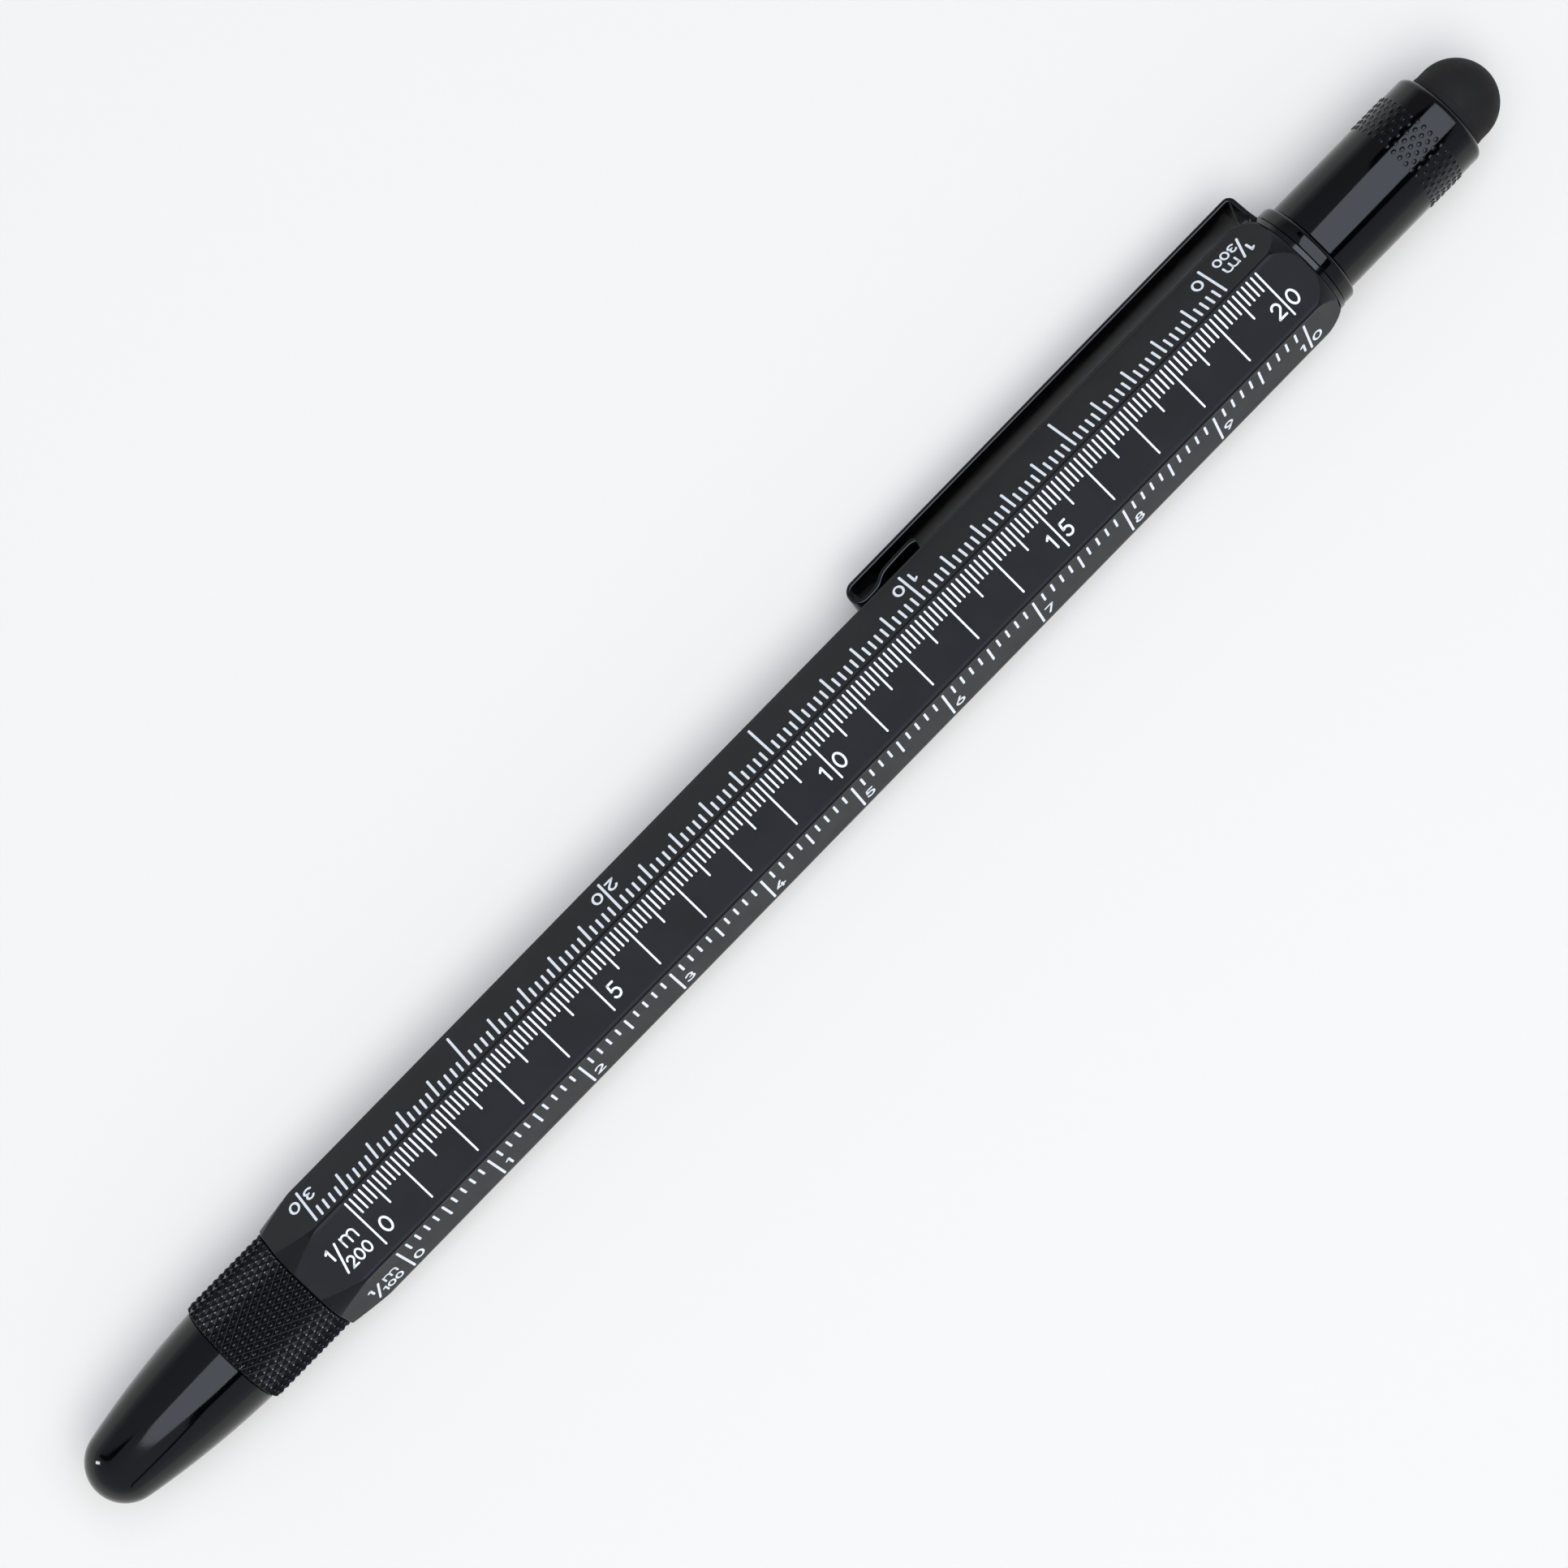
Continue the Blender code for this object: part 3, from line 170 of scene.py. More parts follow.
# Collar, cover and stylus
COLLAR_RADIUS = 4.80 * MM
COLLAR_EDGE_RADIUS = 0.35 * MM
COLLAR_NEAR_EDGE = 0.13 * MM
WASHER_EDGE = 0.10 * MM
COLLAR_BORE = 2.75 * MM
SPIGOT_RADIUS = 3.40 * MM
SPIGOT_GROOVE_RADIUS = 2.99 * MM
SPIGOT_GROOVE_WIDTH = 0.70 * MM
SPIGOT_GROOVE_SETBACK = 1.00 * MM
COVER_RADIUS = 4.32 * MM
COVER_BORE = 3.60 * MM
COVER_END_WALL = 1.90 * MM
COVER_EDGE_RADIUS = 0.55 * MM
COVER_FLOOR_CORNER = 0.40 * MM
BUMP_COLUMNS = 6
BUMP_AROUND = 40
BUMP_ALONG_PITCH = 0.60 * MM
BUMP_SETBACK = 5.55 * MM
BUMP_LENGTH = 0.49 * MM
BUMP_BREADTH = 0.38 * MM
BUMP_HEIGHT = 0.095 * MM
BUMP_TOP_POWER = 0.75
BUMP_SUNK = 0.010 * MM
STYLUS_RADIUS = 3.50 * MM
STYLUS_FOOT_RADIUS = 3.54 * MM
STYLUS_FOOT_LENGTH = 0.55 * MM
STYLUS_WALL = 0.95 * MM
STYLUS_STEM_RADIUS = 1.30 * MM

# Print: round-ended strokes, a hair proud of the barrel
PRINT_WIDTH = 0.215 * MM
FINE_MARK_WIDTH = 0.165 * MM
FINE_FIGURE_WIDTH = 0.186 * MM
PRINT_PROUD = 0.012 * MM
PRINT_SUNK = 0.010 * MM
MARK_END_SHARE = 0.499
MARK_END_STEPS = 4
GLYPH_GAP_SHARE = 0.06

# Label with a scale's ratio, placed from the zero mark as (along, across)
RATIO_ONE = (-3.72 * MM, -0.10 * MM)
RATIO_STROKE = ((-2.80 * MM, 0.94 * MM), (-3.60 * MM, -1.42 * MM))
RATIO_UNIT = (-1.64 * MM, -0.02 * MM)
RATIO_FIGURES = (-1.95 * MM, -1.53 * MM)
RATIO_ONE_HEIGHT = 1.15 * MM
RATIO_UNIT_HEIGHT = 1.00 * MM
RATIO_FIGURE_HEIGHT = 1.06 * MM
RATIO_FINE_SHARE = 0.84

# Micro edges and threads
MICRO_EDGE = 0.05 * MM
CUT_OVERRUN = 1.00 * MM
THREAD_PITCH = 0.80 * MM
THREAD_DEPTH = 0.16 * MM
THREAD_ROWS = 8
THREAD_FLANK_SLOPE = 1.7
THREAD_CREST_SHARE = 0.35
BARREL_THREAD_TURNS = 9

# Grip section, feed and tip
SECTION_BORE = 3.45 * MM
SECTION_FLANGE_LENGTH = 1.05 * MM
SECTION_THREAD_LENGTH = 4.20 * MM
SEAL_GROOVE_WIDTH = 0.80 * MM
SEAL_GROOVE_RADIUS = 3.10 * MM
GRIP_RADIUS = 3.45 * MM
GRIP_TAPER = 0.60 * MM
GRIP_WAIST = 0.10 * MM
GRIP_NOSE = ((0.06 * MM, 2.80 * MM), (0.0, 2.70 * MM))
GRIP_NOSE_LENGTH = 0.20 * MM
TIP_SOCKET_RADIUS = 1.25 * MM
TIP_SOCKET_DEPTH = 1.50 * MM
FEED_BORE = 2.00 * MM
NECK_BORE = 2.25 * MM
FEED_RADIUS = 1.95 * MM
FEED_ROOT_RADIUS = 1.45 * MM
FEED_COLLAR_LENGTH = 1.40 * MM
FEED_FINS = 11
FEED_FIN_SHARE = 0.4
SPIKE_RADIUS = 0.80 * MM
TIP_STEM_RADIUS = 1.20 * MM
TIP_SEAT_RADIUS = 2.30 * MM
TIP_ROOT_RADIUS = 2.40 * MM
TIP_ROOT_EDGE = 0.10 * MM
TIP_STEPS = ((2.20 * MM, 1.32 * MM), (2.10 * MM, 1.12 * MM), (0.25 * MM, 0.72 * MM), (0.05 * MM, 0.60 * MM),
             (0.0, 0.54 * MM))
BALL_SLIP = 0.04 * MM

# Cartridge and liner
CARTRIDGE_RADIUS = 3.40 * MM
CARTRIDGE_WALL = 0.40 * MM
CARTRIDGE_NECK_LENGTH = 5.00 * MM
CARTRIDGE_NECK_RADIUS = 2.20 * MM
CARTRIDGE_MOUTH_RADIUS = 0.85 * MM
INK_SLIP = 0.03 * MM
INK_AIR_LENGTH = 6.00 * MM
LINER_SETBACK = 2.50 * MM
LINER_WALL = 0.35 * MM
LINER_FLOOR = 0.45 * MM

# Bit, holder and magnet
BIT_COLUMNS = 48
BIT_HALF_ACROSS = 2.00 * MM
BIT_CORNER_BREAK = 0.06 * MM
BIT_END_LENGTH = 5.00 * MM
BIT_EASE_LENGTH = 0.35 * MM
BIT_EASE_SHARE = 0.82
BIT_NECK_RADIUS = 1.55 * MM
BIT_NECK_SETBACK = 0.30 * MM
BIT_POINT_LENGTH = 2.60 * MM
BLADE_STEPS = ((0.0, 0.28 * MM, 1.48 * MM), (0.90 * MM, 0.34 * MM, 1.50 * MM),
               (1.80 * MM, 0.75 * MM, 1.50 * MM))
BLADE_SPREAD_SHARE = 1.2
CROSS_TIP_RADIUS = 0.50 * MM
CROSS_CORE_RADIUS = 0.34 * MM
CROSS_CORE_SHARE = 0.42
CROSS_STRAIGHT_SHARE = 0.1
CROSS_FLUTE_SHARE = 2.2
CROSS_WING_SHARE = 1.8
HOLDER_HEAD_RADIUS = 3.40 * MM
HOLDER_HEAD_LENGTH = 1.95 * MM
HOLDER_RADIUS = 2.70 * MM
SOCKET_HALF_ACROSS = 2.05 * MM
SOCKET_EDGE_ANGLE = math.radians(1.5)
MAGNET_RADIUS = 1.90 * MM

# Level
VIAL_OFF_AXIS = 1.52 * MM
VIAL_RADIUS = 2.30 * MM
VIAL_BORE = 1.85 * MM
VIAL_LINE_OFFSET = 2.75 * MM
VIAL_LINE_WIDTH = 0.30 * MM
VIAL_LINE_SUNK = 0.002 * MM
VIAL_LINE_PROUD = 0.025 * MM

PEN = pen_matrix()


def around(angle, radius):
    """Cross-section point (y, z) at an angle from the scale face towards the clip's side."""
    return radius * math.sin(angle), radius * math.cos(angle)


def face_matrix(angle):
    """Axes on one flat of the barrel: x along the pen, y across towards the clip's side, z out of it."""
    return Matrix.Rotation(-angle, 4, "X") @ Matrix.Translation((0.0, 0.0, FACE_OUT))


def spread(start, end, steps):
    """Evenly spaced values from start to end, both included."""
    return [start + (end - start) * step / steps for step in range(steps + 1)]


def arc(centre, radius, start, end, steps):
    """Points (along, out) on an arc, with angles in degrees from +X towards outwards."""
    turns = [math.radians(angle) for angle in spread(start, end, steps)]
    return [(centre[0] + radius * math.cos(a), centre[1] + radius * math.sin(a)) for a in turns]


def eased(outline):
    """Closed outline whose corners may carry a third value, the radius that rounds them."""
    points = []
    for index, corner in enumerate(outline):
        place = Vector(corner[:2])
        if len(corner) == 2:
            points.append(corner)
            continue
        back = Vector(outline[index - 1][:2]) - place
        ahead = Vector(outline[(index + 1) % len(outline)][:2]) - place
        half = back.angle(ahead) / 2
        reach = min(corner[2] / math.tan(half), back.length / 2, ahead.length / 2)
        radius = reach * math.tan(half)
        centre = place + (back.normalized() + ahead.normalized()).normalized() * radius / math.sin(half)
        start = place + back.normalized() * reach - centre
        end = place + ahead.normalized() * reach - centre
        first = math.atan2(start.y, start.x)
        turn = (math.atan2(end.y, end.x) - first + math.pi) % math.tau - math.pi
        for angle in spread(first, first + turn, EASE_STEPS):
            points.append((centre.x + radius * math.cos(angle), centre.y + radius * math.sin(angle)))
    return points


def thread_wave(place):
    """Height of a thread's flank over one turn, from 0 at the crest to 1 at the root."""
    flank = THREAD_FLANK_SLOPE * abs(2 * (place % 1.0) - 1) - THREAD_CREST_SHARE
    return min(max(flank, 0.0), 1.0)


def thread_rows(start, end, crest, depth):
    """Rows of a screw thread as (x, crest, depth), running out at both ends."""
    steps = max(4, round(abs(end - start) / THREAD_PITCH * THREAD_ROWS))
    rows = []
    for index, x in enumerate(spread(start, end, steps)):
        fade = min(1.0, index / THREAD_ROWS, (steps - index) / THREAD_ROWS)
        rows.append((x, crest, depth * fade))
    return rows


def row_ring(bm, row, angles):
    """Ring of vertices for one row; a third value cuts a helical thread into it."""
    if row[1] < POLE:
        return [bm.verts.new((row[0], 0.0, 0.0))]
    ring = []
    for angle in angles:
        cut = row[2] * thread_wave(row[0] / THREAD_PITCH - angle / math.tau) if len(row) > 2 else 0.0
        ring.append(bm.verts.new((row[0], *around(angle, row[1] - cut))))
    return ring


def bridge(bm, near, far):
    """Skin between two rings, or between a ring and a pole."""
    count = max(len(near), len(far))
    for index in range(count):
        after = (index + 1) % count
        corners = [near[index % len(near)], near[after % len(near)]]
        corners += [far[after % len(far)], far[index % len(far)]]
        corners = list(dict.fromkeys(corners))
        if len(corners) > 2:
            bm.faces.new(corners)


def turned(rows, columns=ROUND_COLUMNS):
    """Turned body from rows (x, radius); it is closed on itself unless it starts on the axis."""
    bm = bmesh.new()
    angles = [math.tau * index / columns for index in range(columns)]
    rings = [row_ring(bm, row, angles) for row in rows]
    if len(rings[0]) > 1:
        rings.append(rings[0])
    for near, far in zip(rings, rings[1:]):
        bridge(bm, near, far)
    return bm


def turned_smooth(outline, columns=ROUND_COLUMNS):
    """Turned body whose outline has eased corners."""
    return turned(eased(outline), columns)


def prism_body(corners, travel):
    """Closed prism from a flat outline of corners and the vector that sweeps it."""
    bm = bmesh.new()
    near = [bm.verts.new(corner) for corner in corners]
    far = [bm.verts.new(Vector(corner) + Vector(travel)) for corner in corners]
    bm.faces.new(near)
    bm.faces.new(far[::-1])
    bridge(bm, near, far)
    return bm


def mesh_from(name, bm):
    """Clean mesh with its faces pointing out."""
    bmesh.ops.remove_doubles(bm, verts=bm.verts, dist=WELD)
    bmesh.ops.dissolve_degenerate(bm, edges=bm.edges, dist=WELD)
    bmesh.ops.recalc_face_normals(bm, faces=bm.faces)
    mesh = bpy.data.meshes.new(name)
    bm.to_mesh(mesh)
    bm.free()
    return mesh


def placed(name, data):
    """New object in the scene."""
    item = bpy.data.objects.new(name, data)
    bpy.context.scene.collection.objects.link(item)
    return item


def fit(name, shape, coat, body, replaced=(), place=None, smooth=SMOOTH):
    """Put a finished shape, drawn in the pen's axes, on the body that carries it."""
    mesh = mesh_from(name, shape) if isinstance(shape, bmesh.types.BMesh) else shape
    mesh.transform(PEN @ place if place else PEN)
    mesh.name = name
    mesh.shade_smooth()
    mesh.set_sharp_from_angle(angle=smooth)
    mesh.materials.clear()
    mesh.materials.append(coat)
    piece = placed(name, mesh)
    if body:
        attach(piece, body)
    if replaced:
        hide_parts(*replaced)
    return piece


def carve(blank, cutter):
    """Mesh of a blank with a closed cutter taken away from it."""
    host = placed("carve_host", mesh_from("carve_host", blank))
    guide = placed("carve_guide", mesh_from("carve_guide", cutter))
    step = host.modifiers.new("carve", "BOOLEAN")
    step.operation = "DIFFERENCE"
    step.solver = "EXACT"
    step.object = guide
    result = baked(host)
    bpy.data.objects.remove(guide)
    return result


def baked(host):
    """Plain mesh of an object's modifiers; the object itself goes."""
    view = bpy.context.evaluated_depsgraph_get()
    mesh = bpy.data.meshes.new_from_object(host.evaluated_get(view))
    bpy.data.objects.remove(host)
    return mesh


# Finishes

# Nearly all of a noise lies between these two values
NOISE_LOW = 0.3
NOISE_HIGH = 0.7


def shader_inputs(material):
    """Inputs of a finish's Principled shader."""
    return material.node_tree.nodes["Principled BSDF"].inputs


def finish(name, colour, roughness, metallic=0.0, specular=0.5):
    """Principled material with its plain values, and its tree for the detail."""
    material = bpy.data.materials.new(name)
    material.use_nodes = True
    inputs = shader_inputs(material)
    inputs["Base Color"].default_value = (*colour, 1.0)
    inputs["Roughness"].default_value = roughness
    inputs["Metallic"].default_value = metallic
    inputs["Specular IOR Level"].default_value = specular
    return material


def add(owner, kind, **values):
    """New node in a material or the world; values set its properties or its inputs by name."""
    node = owner.node_tree.nodes.new(kind)
    for key, value in values.items():
        if hasattr(node, key):
            setattr(node, key, value)
        else:
            node.inputs[key.replace("_", " ")].default_value = value
    return node


def wire(owner, start, end):
    """Link an output to an input."""
    owner.node_tree.links.new(start, end)


def combine(owner, operation, first, second):
    """Plain arithmetic on two outputs."""
    result = add(owner, "ShaderNodeMath", operation=operation)
    wire(owner, first, result.inputs[0])
    wire(owner, second, result.inputs[1])
    return result.outputs[0]


def ramp(owner, source, start, end, low=0.0, high=1.0):
    """Value that goes from low to high while the source goes from start to end."""
    step = add(owner, "ShaderNodeMapRange", From_Min=start, From_Max=end, To_Min=low, To_Max=high)
    wire(owner, source, step.inputs["Value"])
    return step.outputs["Result"]


def colour_between(owner, share, first, second):
    """Colour between two others by a share; each may be plain or another node's output."""
    mix = add(owner, "ShaderNodeMix", data_type="RGBA")
    colours = [socket for socket in mix.inputs if socket.type == "RGBA"]
    wire(owner, share, mix.inputs[0])
    for socket, colour in zip(colours, (first, second)):
        if isinstance(colour, tuple):
            socket.default_value = (*colour, 1.0)
        else:
            wire(owner, colour, socket)
    return next(socket for socket in mix.outputs if socket.type == "RGBA")


def surface_noise(material, grain, detail=3.0, stretch=(1.0, 1.0, 1.0)):
    """Noise that follows the surface, with a grain of the given size."""
    place = add(material, "ShaderNodeTexCoord")
    turn = add(material, "ShaderNodeMapping", Scale=stretch)
    noise = add(material, "ShaderNodeTexNoise", Scale=1.0 / grain, Detail=detail)
    wire(material, place.outputs["Object"], turn.inputs["Vector"])
    wire(material, turn.outputs["Vector"], noise.inputs["Vector"])
    return noise.outputs["Fac"]


def axis_distance(material):
    """Distance from the pen's axis, which finds the tips of the knurl and the barrel's edges."""
    place = add(material, "ShaderNodeTexCoord")
    off_axis = add(material, "ShaderNodeMapping", Location=-PEN.translation, Scale=(0.0, 1.0, 1.0))
    distance = add(material, "ShaderNodeVectorMath", operation="LENGTH")
    wire(material, place.outputs["Object"], off_axis.inputs["Vector"])
    wire(material, off_axis.outputs["Vector"], distance.inputs[0])
    return distance.outputs["Value"]


def roughness_from(material, source, low, high):
    """Let a pattern move the roughness between two values."""
    level = ramp(material, source, NOISE_LOW, NOISE_HIGH, low, high)
    wire(material, level, shader_inputs(material)["Roughness"])


def colour_from(material, source, dark, light):
    """Let a pattern move the colour between two tones."""
    wire(material, colour_between(material, source, dark, light), shader_inputs(material)["Base Color"])


def relief_from(material, source, depth, strength=1.0):
    """Let a pattern raise the surface by a depth."""
    bump = add(material, "ShaderNodeBump", Strength=strength, Distance=depth)
    wire(material, source, bump.inputs["Height"])
    wire(material, bump.outputs["Normal"], shader_inputs(material)["Normal"])


def satin_black():
    """Bead-blasted and anodised barrel, smoother where hands have rubbed its edges."""
    material = finish("barrel_satin", (0.0064, 0.0064, 0.0074), 0.47, specular=0.155)
    inputs = shader_inputs(material)
    inputs["Sheen Weight"].default_value = 0.062
    inputs["Sheen Roughness"].default_value = 0.45
    relief_from(material, surface_noise(material, 0.10 * MM, 2.0), 0.005 * MM, 0.6)
    blasted = ramp(material, surface_noise(material, 3.0 * MM, 4.0), NOISE_LOW, NOISE_HIGH, 0.43, 0.51)
    polish = ramp(material, axis_distance(material), HEX_EDGE_POLISH_START, HEX_EDGE_POLISH_FULL, 1.0, 0.42)
    wire(material, combine(material, "MULTIPLY", blasted, polish), inputs["Roughness"])
    tones = ((0.0056, 0.0056, 0.0066), (0.0072, 0.0072, 0.0082))
    colour_from(material, surface_noise(material, 6.0 * MM), *tones)
    return material


def gloss_black():
    """Polished black lacquer of cap, collar and cover."""
    material = finish("gloss_black", (0.0008, 0.0008, 0.0010), 0.08, specular=0.34)
    roughness_from(material, surface_noise(material, 2.0 * MM, 5.0), 0.05, 0.10)
    relief_from(material, surface_noise(material, 0.14 * MM, 3.0), 0.0011 * MM, 0.6)
    return material


def knurl_black():
    """Plated knurl, duller than the lacquer beside it, its tips worn to the metal."""
    material = finish("knurl_black", (0.003, 0.003, 0.0035), 0.20, specular=0.19)
    roughness_from(material, surface_noise(material, 0.25 * MM, 3.0), 0.13, 0.24)
    relief_from(material, surface_noise(material, 0.06 * MM, 2.0), 0.003 * MM, 0.4)
    worn = ramp(material, axis_distance(material), KNURL_CREST_RADIUS - KNURL_WEAR_START,
                KNURL_CREST_RADIUS - KNURL_WEAR_FULL)
    colour_from(material, worn, (0.003, 0.003, 0.0035), (0.26, 0.26, 0.27))
    wire(material, worn, shader_inputs(material)["Metallic"])
    return material


def clip_gloss():
    """Spring steel under black lacquer."""
    material = finish("clip_black", (0.0010, 0.0010, 0.0012), 0.12)
    roughness_from(material, surface_noise(material, 1.2 * MM, 4.0), 0.09, 0.18)
    relief_from(material, surface_noise(material, 0.5 * MM, 2.0, (0.2, 1.0, 1.0)), 0.0012 * MM, 0.6)
    return material


def white_print():
    """Screen-printed white ink."""
    material = finish("white_print", (0.86, 0.88, 0.90), 0.55)
    colour_from(material, surface_noise(material, 0.12 * MM, 3.0), (0.78, 0.80, 0.82), (0.86, 0.88, 0.90))
    relief_from(material, surface_noise(material, 0.05 * MM, 2.0), 0.002 * MM, 0.5)
    return material


def stylus_black():
    """Soft conductive rubber."""
    material = finish("stylus_rubber", (0.0105, 0.0095, 0.0088), 0.72, specular=0.22)
    relief_from(material, surface_noise(material, 0.05 * MM, 3.0), 0.006 * MM, 0.8)
    roughness_from(material, surface_noise(material, 1.5 * MM), 0.66, 0.80)
    return material


def seal_black():
    """Rubber of the sealing rings."""
    material = finish("seal_rubber", (0.010, 0.010, 0.010), 0.55)
    relief_from(material, surface_noise(material, 0.08 * MM), 0.003 * MM)
    return material


def moulded(name, colour, roughness):
    """Moulded plastic with a faint skin."""
    material = finish(name, colour, roughness)
    relief_from(material, surface_noise(material, 0.20 * MM, 3.0), 0.003 * MM, 0.6)
    roughness_from(material, surface_noise(material, 1.5 * MM), roughness - 0.06, roughness + 0.06)
    return material


def turned_steel(name, colour, roughness):
    """Steel with the fine rings of the lathe."""
    material = finish(name, colour, roughness, metallic=1.0)
    rings = surface_noise(material, 0.16 * MM, 1.0, (1.0, 0.02, 0.02))
    relief_from(material, rings, 0.0010 * MM, 0.5)
    roughness_from(material, surface_noise(material, 0.8 * MM), roughness - 0.03, roughness + 0.05)
    return material


def clear(name, colour, roughness, index, clarity=1.0):
    """Clear moulding or fluid with a tint."""
    material = finish(name, colour, roughness)
    inputs = shader_inputs(material)
    inputs["Transmission Weight"].default_value = clarity
    inputs["IOR"].default_value = index
    relief_from(material, surface_noise(material, 1.0 * MM), 0.0004 * MM, 0.3)
    return material


SATIN = satin_black()
GLOSS = gloss_black()
KNURL = knurl_black()
CLIP = clip_gloss()
PRINT = white_print()
STYLUS = stylus_black()
SEAL = seal_black()
SECTION = moulded("section_plastic", (0.012, 0.012, 0.013), 0.34)
INNER = moulded("inner_plastic", (0.10, 0.10, 0.105), 0.45)
LINER = moulded("liner_plastic", (0.72, 0.72, 0.69), 0.42)
STEEL = turned_steel("bit_steel", (0.50, 0.50, 0.51), 0.27)
DARK_STEEL = turned_steel("holder_steel", (0.22, 0.22, 0.23), 0.32)
BALL = turned_steel("ball_steel", (0.78, 0.78, 0.80), 0.10)
TUBE = clear("cartridge_plastic", (0.94, 0.95, 0.97), 0.03, 1.45)
INK = moulded("ink_blue", (0.012, 0.020, 0.090), 0.36)
VIAL = clear("vial_clear", (0.97, 0.98, 0.97), 0.02, 1.47)
FLUID = clear("level_green", (0.66, 0.90, 0.10), 0.0, 1.36, 0.55)
BUBBLE = clear("bubble_clear", (0.88, 0.97, 0.42), 0.0, 1.20, 0.45)


# Barrel


def off_face(angle):
    """Angle from the middle of the nearest flat of a hexagon."""
    return abs((angle + HEX_SECTOR / 2) % HEX_SECTOR - HEX_SECTOR / 2)


def edge_start():
    """Angle from the middle of a flat at which the barrel's rounded edge starts."""
    return math.atan2((FACE_OUT - HEX_EDGE_RADIUS) * math.tan(HEX_SECTOR / 2), FACE_OUT)


def hex_radius(angle):
    """Distance from the axis to the flats, with rounded edges between them."""
    off = off_face(angle)
    if off <= edge_start():
        return FACE_OUT / math.cos(off)
    off_corner = HEX_SECTOR / 2 - off
    centre = (FACE_OUT - HEX_EDGE_RADIUS) / math.cos(HEX_SECTOR / 2)
    aside = centre * math.sin(off_corner)
    return centre * math.cos(off_corner) + math.sqrt(HEX_EDGE_RADIUS ** 2 - aside ** 2)


def barrel_angles():
    """Angles of the barrel's columns: even across each flat and close together round each edge."""
    reach = edge_start()
    angles = []
    for face in range(6):
        middle = face * HEX_SECTOR
        angles += spread(middle - reach, middle + reach, FACE_COLUMNS)
        angles += spread(middle + reach, middle + HEX_SECTOR - reach, EDGE_COLUMNS)[1:-1]
    return angles


def barrel_column(angle):
    """Outer points (x, radius) of one column, front to rear, with rows along the scalloped edges."""
    flat = hex_radius(angle)
    front = BARREL_X + FRONT_EDGE_BREAK
    cone_meet = max(front, BARREL_X + (flat - CONE_FACE_RADIUS) / math.tan(CONE_ANGLE))
    arc_x = BARREL_END_X - SHOULDER_LENGTH
    arc_out = SHOULDER_CROWN - SHOULDER_RADIUS
    last = BARREL_END_X - SHOULDER_EDGE_BREAK
    arc_meet = min(last, arc_x + math.sqrt(SHOULDER_RADIUS ** 2 - (flat - arc_out) ** 2))
    step = SCALLOP_EASE if cone_meet > front + SCALLOP_EASE else 0.0
    back = SCALLOP_EASE if arc_meet < last - SCALLOP_EASE else 0.0
    places = spread(front, cone_meet - step, CONE_ROWS)
    places += [cone_meet + step, cone_meet + 2 * SCALLOP_EASE]
    places += [arc_meet - 2 * SCALLOP_EASE, arc_meet - back]
    places += spread(arc_meet + back, last, SHOULDER_ROWS)
    points = [(BARREL_X, min(flat, CONE_FACE_RADIUS) - FRONT_EDGE_BREAK)]
    for x in places:
        cone = CONE_FACE_RADIUS + (x - BARREL_X) * math.tan(CONE_ANGLE)
        shoulder = arc_out + math.sqrt(SHOULDER_RADIUS ** 2 - max(x - arc_x, 0.0) ** 2)
        points.append((x, min(flat, cone, shoulder)))
    points.append((BARREL_END_X, points[-1][1] - SHOULDER_EDGE_BREAK))
    return points


def barrel_bore_rows():
    """Inner rows from the rear mouth over the partition to the front, with the section's thread."""
    partition_end = CRADLE_X - MICRO_EDGE
    partition_x = partition_end - PARTITION_THICKNESS
    counterbore_end = BARREL_X + COUNTERBORE_DEPTH
    thread_start = counterbore_end + THREAD_PITCH / 2
    thread_end = thread_start + BARREL_THREAD_TURNS * THREAD_PITCH
    rows = [(BARREL_END_X, BARREL_BORE + MICRO_EDGE), (BARREL_END_X - MICRO_EDGE, BARREL_BORE)]
    rows += [(partition_end, BARREL_BORE), (partition_end, 0.0)]
    rows += [(partition_x, 0.0), (partition_x, BARREL_BORE)]
    rows += thread_rows(thread_end, thread_start, BARREL_BORE, -THREAD_DEPTH)
    rows += [(counterbore_end, BARREL_BORE), (counterbore_end, COUNTERBORE_RADIUS)]
    rows += [(BARREL_X + MICRO_EDGE, COUNTERBORE_RADIUS), (BARREL_X, COUNTERBORE_RADIUS + MICRO_EDGE)]
    return rows


def slot_outline(extra, height):
    """Round-ended outline of the level's slot at a height, grown by extra."""
    radius = LEVEL_SLOT_WIDTH / 2 + extra
    run = LEVEL_SLOT_LENGTH / 2 - LEVEL_SLOT_WIDTH / 2
    ends = arc((LEVEL_X + run, 0.0), radius, 90, -90, 24) + arc((LEVEL_X - run, 0.0), radius, 270, 90, 24)
    return [(x, y, height) for x, y in ends]


def slot_cutter():
    """Cutter for the slot and the chamfer round it, in the face opposite the scale face."""
    bm = bmesh.new()
    levels = [(0.0, -BARREL_BORE / 2), (0.0, LEVEL_SLOT_CHAMFER - FACE_OUT),
              (2 * LEVEL_SLOT_CHAMFER, -LEVEL_SLOT_CHAMFER - FACE_OUT)]
    loops = [[bm.verts.new(corner) for corner in slot_outline(extra, height)] for extra, height in levels]
    skin(bm, loops)
    return bm


def skin(bm, loops):
    """Closed skin over a row of loops, with a flat face at each end."""
    for near, far in zip(loops, loops[1:]):
        bridge(bm, near, far)
    bm.faces.new(loops[0])
    bm.faces.new(loops[-1])


